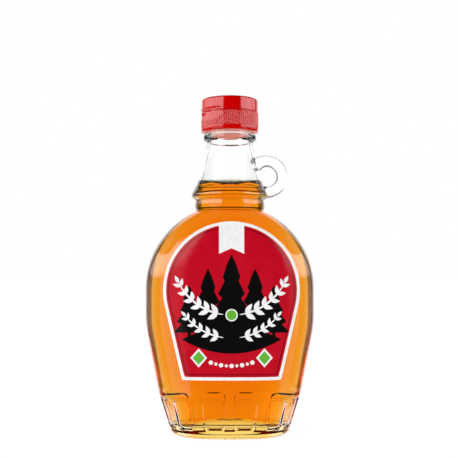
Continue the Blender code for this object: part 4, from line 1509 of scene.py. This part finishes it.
class CapSettings(bpy.types.PropertyGroup):
    """The cap."""

    colour: FloatVectorProperty(
        name="Colour", description="Colour of the plastic", subtype="COLOR",
        default=(0.60, 0.0, 0.0), min=0.0, max=1.0)
    shade: FloatVectorProperty(
        name="Shade", description="Colour of the flow marks", subtype="COLOR",
        default=(0.55, 0.0, 0.0), min=0.0, max=1.0)
    roughness: FloatProperty(
        name="Roughness", description="Roughness of the plastic", default=0.10)
    # Painted glow inside the cap's bore, standing in for light through the plastic
    painted_inner_glow: FloatVectorProperty(
        name="Inner Glow", description="Light that comes through the plastic", subtype="COLOR",
        default=(0.50, 0.22, 0.17), min=0.0, max=1.0)
    rib_count: IntProperty(
        name="Rib Count", description="Ribs round the skirt", default=86)
    rib_radius: FloatProperty(
        name="Rib Radius", description="Radius of one rib",
        default=0.00058, unit="LENGTH", precision=5)


class LabelSettings(bpy.types.PropertyGroup):
    """The label."""

    red: FloatVectorProperty(
        name="Red", description="Colour of the field", subtype="COLOR",
        default=(0.54, 0.003, 0.016), min=0.0, max=1.0)
    dark: FloatVectorProperty(
        name="Dark", description="Colour of the inner line", subtype="COLOR",
        default=(0.22, 0.001, 0.008), min=0.0, max=1.0)
    black: FloatVectorProperty(
        name="Black", description="Colour of the trees", subtype="COLOR",
        default=(0.004, 0.004, 0.004), min=0.0, max=1.0)
    white: FloatVectorProperty(
        name="White", description="Colour of the paper", subtype="COLOR",
        default=(0.90, 0.89, 0.89), min=0.0, max=1.0)
    green: FloatVectorProperty(
        name="Green", description="Colour of the small marks", subtype="COLOR",
        default=(0.13, 0.45, 0.04), min=0.0, max=1.0)
    roughness: FloatProperty(
        name="Roughness", description="Roughness of the coating", default=0.12)
    gloss: FloatProperty(
        name="Gloss", description="Specular level of the coating", default=0.2)
    gap: FloatProperty(
        name="Gap", description="Glue under the label",
        default=0.00003, unit="LENGTH", precision=6)
    thickness: FloatProperty(
        name="Thickness", description="Thickness of the label",
        default=0.00012, unit="LENGTH", precision=6)


class StageSettings(bpy.types.PropertyGroup):
    """The stage. Angles are in degrees."""

    floor_size: FloatProperty(
        name="Floor Size", description="Half the floor's side", default=4.0, unit="LENGTH")
    floor_colour: FloatVectorProperty(
        name="Floor Colour", description="Colour of the floor", subtype="COLOR",
        default=(0.30, 0.30, 0.30), min=0.0, max=1.0)
    floor_glow: FloatProperty(
        name="Floor Glow", description="Light from below the floor", default=0.9)
    box_brightness: FloatProperty(
        name="Box Brightness", description="Brightness of the soft boxes", default=4.3)
    box_foot: FloatProperty(
        name="Box Foot", description="Share of the brightness in the boxes' lower part", default=0.2)
    box_fade: FloatProperty(
        name="Box Fade", description="Share of the brightness lost at the band's rear end", default=0.5)
    box_near: FloatProperty(
        name="Box End", description="Turn from the front where the soft boxes end", default=70.0)
    box_far: FloatProperty(
        name="Box Band End", description="Turn from the front where their reflected band ends",
        default=125.0)
    back_brightness: FloatProperty(
        name="Background Brightness", description="Brightness behind", default=1.15)
    back_half: FloatProperty(
        name="Background Half", description="Turn from its middle to its side", default=37.0)
    back_top: FloatProperty(
        name="Background Top", description="Rise of its top", default=34.0)
    ceiling: FloatProperty(
        name="Ceiling", description="Brightness above the viewer", default=0.15)
    dark: FloatProperty(
        name="Dark", description="Brightness of the dark parts", default=0.01)
    seen_through: FloatProperty(
        name="Seen Through", description="Least brightness seen through glass", default=0.30)
    distance: FloatProperty(
        name="Distance", description="From the camera to the flask's axis", default=0.430,
        unit="LENGTH")
    frame_width: FloatProperty(
        name="Frame Width", description="Width seen at the flask's axis",
        default=0.2418, unit="LENGTH", precision=4)
    eye_height: FloatProperty(
        name="Eye Height", description="Height of the camera",
        default=0.0921, unit="LENGTH", precision=4)
    axis_right: FloatProperty(
        name="Axis Right", description="Pixels of the axis right of the middle", default=0.8)
    horizon_below: FloatProperty(
        name="Horizon Below", description="Pixels of the eye line below the middle", default=29.0)


GROUPS = {
    "flask_glass": GlassSettings,
    "flask_syrup": SyrupSettings,
    "flask_cap": CapSettings,
    "flask_label": LabelSettings,
    "flask_stage": StageSettings,
}


class FLASK_OT_glass(bpy.types.Operator):
    """Make the glass flask with its finger loop"""

    bl_idname = "flask.glass"
    bl_label = "Glass"

    def execute(self, context):
        build_glass(context.scene.flask_glass)
        return {"FINISHED"}


class FLASK_OT_syrup(bpy.types.Operator):
    """Fill the flask with syrup"""

    bl_idname = "flask.syrup"
    bl_label = "Syrup"

    def execute(self, context):
        build_syrup(context.scene.flask_syrup)
        return {"FINISHED"}


class FLASK_OT_cap(bpy.types.Operator):
    """Close the flask with its ribbed flip-top cap"""

    bl_idname = "flask.cap"
    bl_label = "Cap"

    def execute(self, context):
        build_cap(context.scene.flask_cap)
        return {"FINISHED"}


class FLASK_OT_label(bpy.types.Operator):
    """Put the printed label on the front"""

    bl_idname = "flask.label"
    bl_label = "Label"

    def execute(self, context):
        build_label(context.scene.flask_label)
        return {"FINISHED"}


class FLASK_OT_stage(bpy.types.Operator):
    """Set up the floor, the light and the camera"""

    bl_idname = "flask.stage"
    bl_label = "Stage"

    def execute(self, context):
        build_stage(context.scene.flask_stage)
        return {"FINISHED"}


OPERATORS = (FLASK_OT_glass, FLASK_OT_syrup, FLASK_OT_cap, FLASK_OT_label, FLASK_OT_stage)


class FLASK_PT_panel(bpy.types.Panel):
    """Lists the flask's pieces"""

    bl_idname = "FLASK_PT_panel"
    bl_label = "Syrup Flask"
    bl_space_type = "VIEW_3D"
    bl_region_type = "UI"
    bl_category = "Flask"

    def draw(self, context):
        for operator, (name, group) in zip(OPERATORS, GROUPS.items()):
            box = self.layout.box()
            box.operator(operator.bl_idname)
            for prop in group.__annotations__:
                box.prop(getattr(context.scene, name), prop)


CLASSES = (*GROUPS.values(), *OPERATORS, FLASK_PT_panel)


def register():
    """Adds the classes and the scene's settings."""
    for made in CLASSES:
        bpy.utils.register_class(made)
    for name, group in GROUPS.items():
        setattr(bpy.types.Scene, name, PointerProperty(type=group))


def unregister():
    """Removes the settings and the classes."""
    for name in GROUPS:
        delattr(bpy.types.Scene, name)
    for made in reversed(CLASSES):
        bpy.utils.unregister_class(made)


def main():
    """Builds every piece."""
    register()
    bpy.ops.flask.glass()
    bpy.ops.flask.syrup()
    bpy.ops.flask.cap()
    bpy.ops.flask.label()
    bpy.ops.flask.stage()


if __name__ == "__main__":
    main()
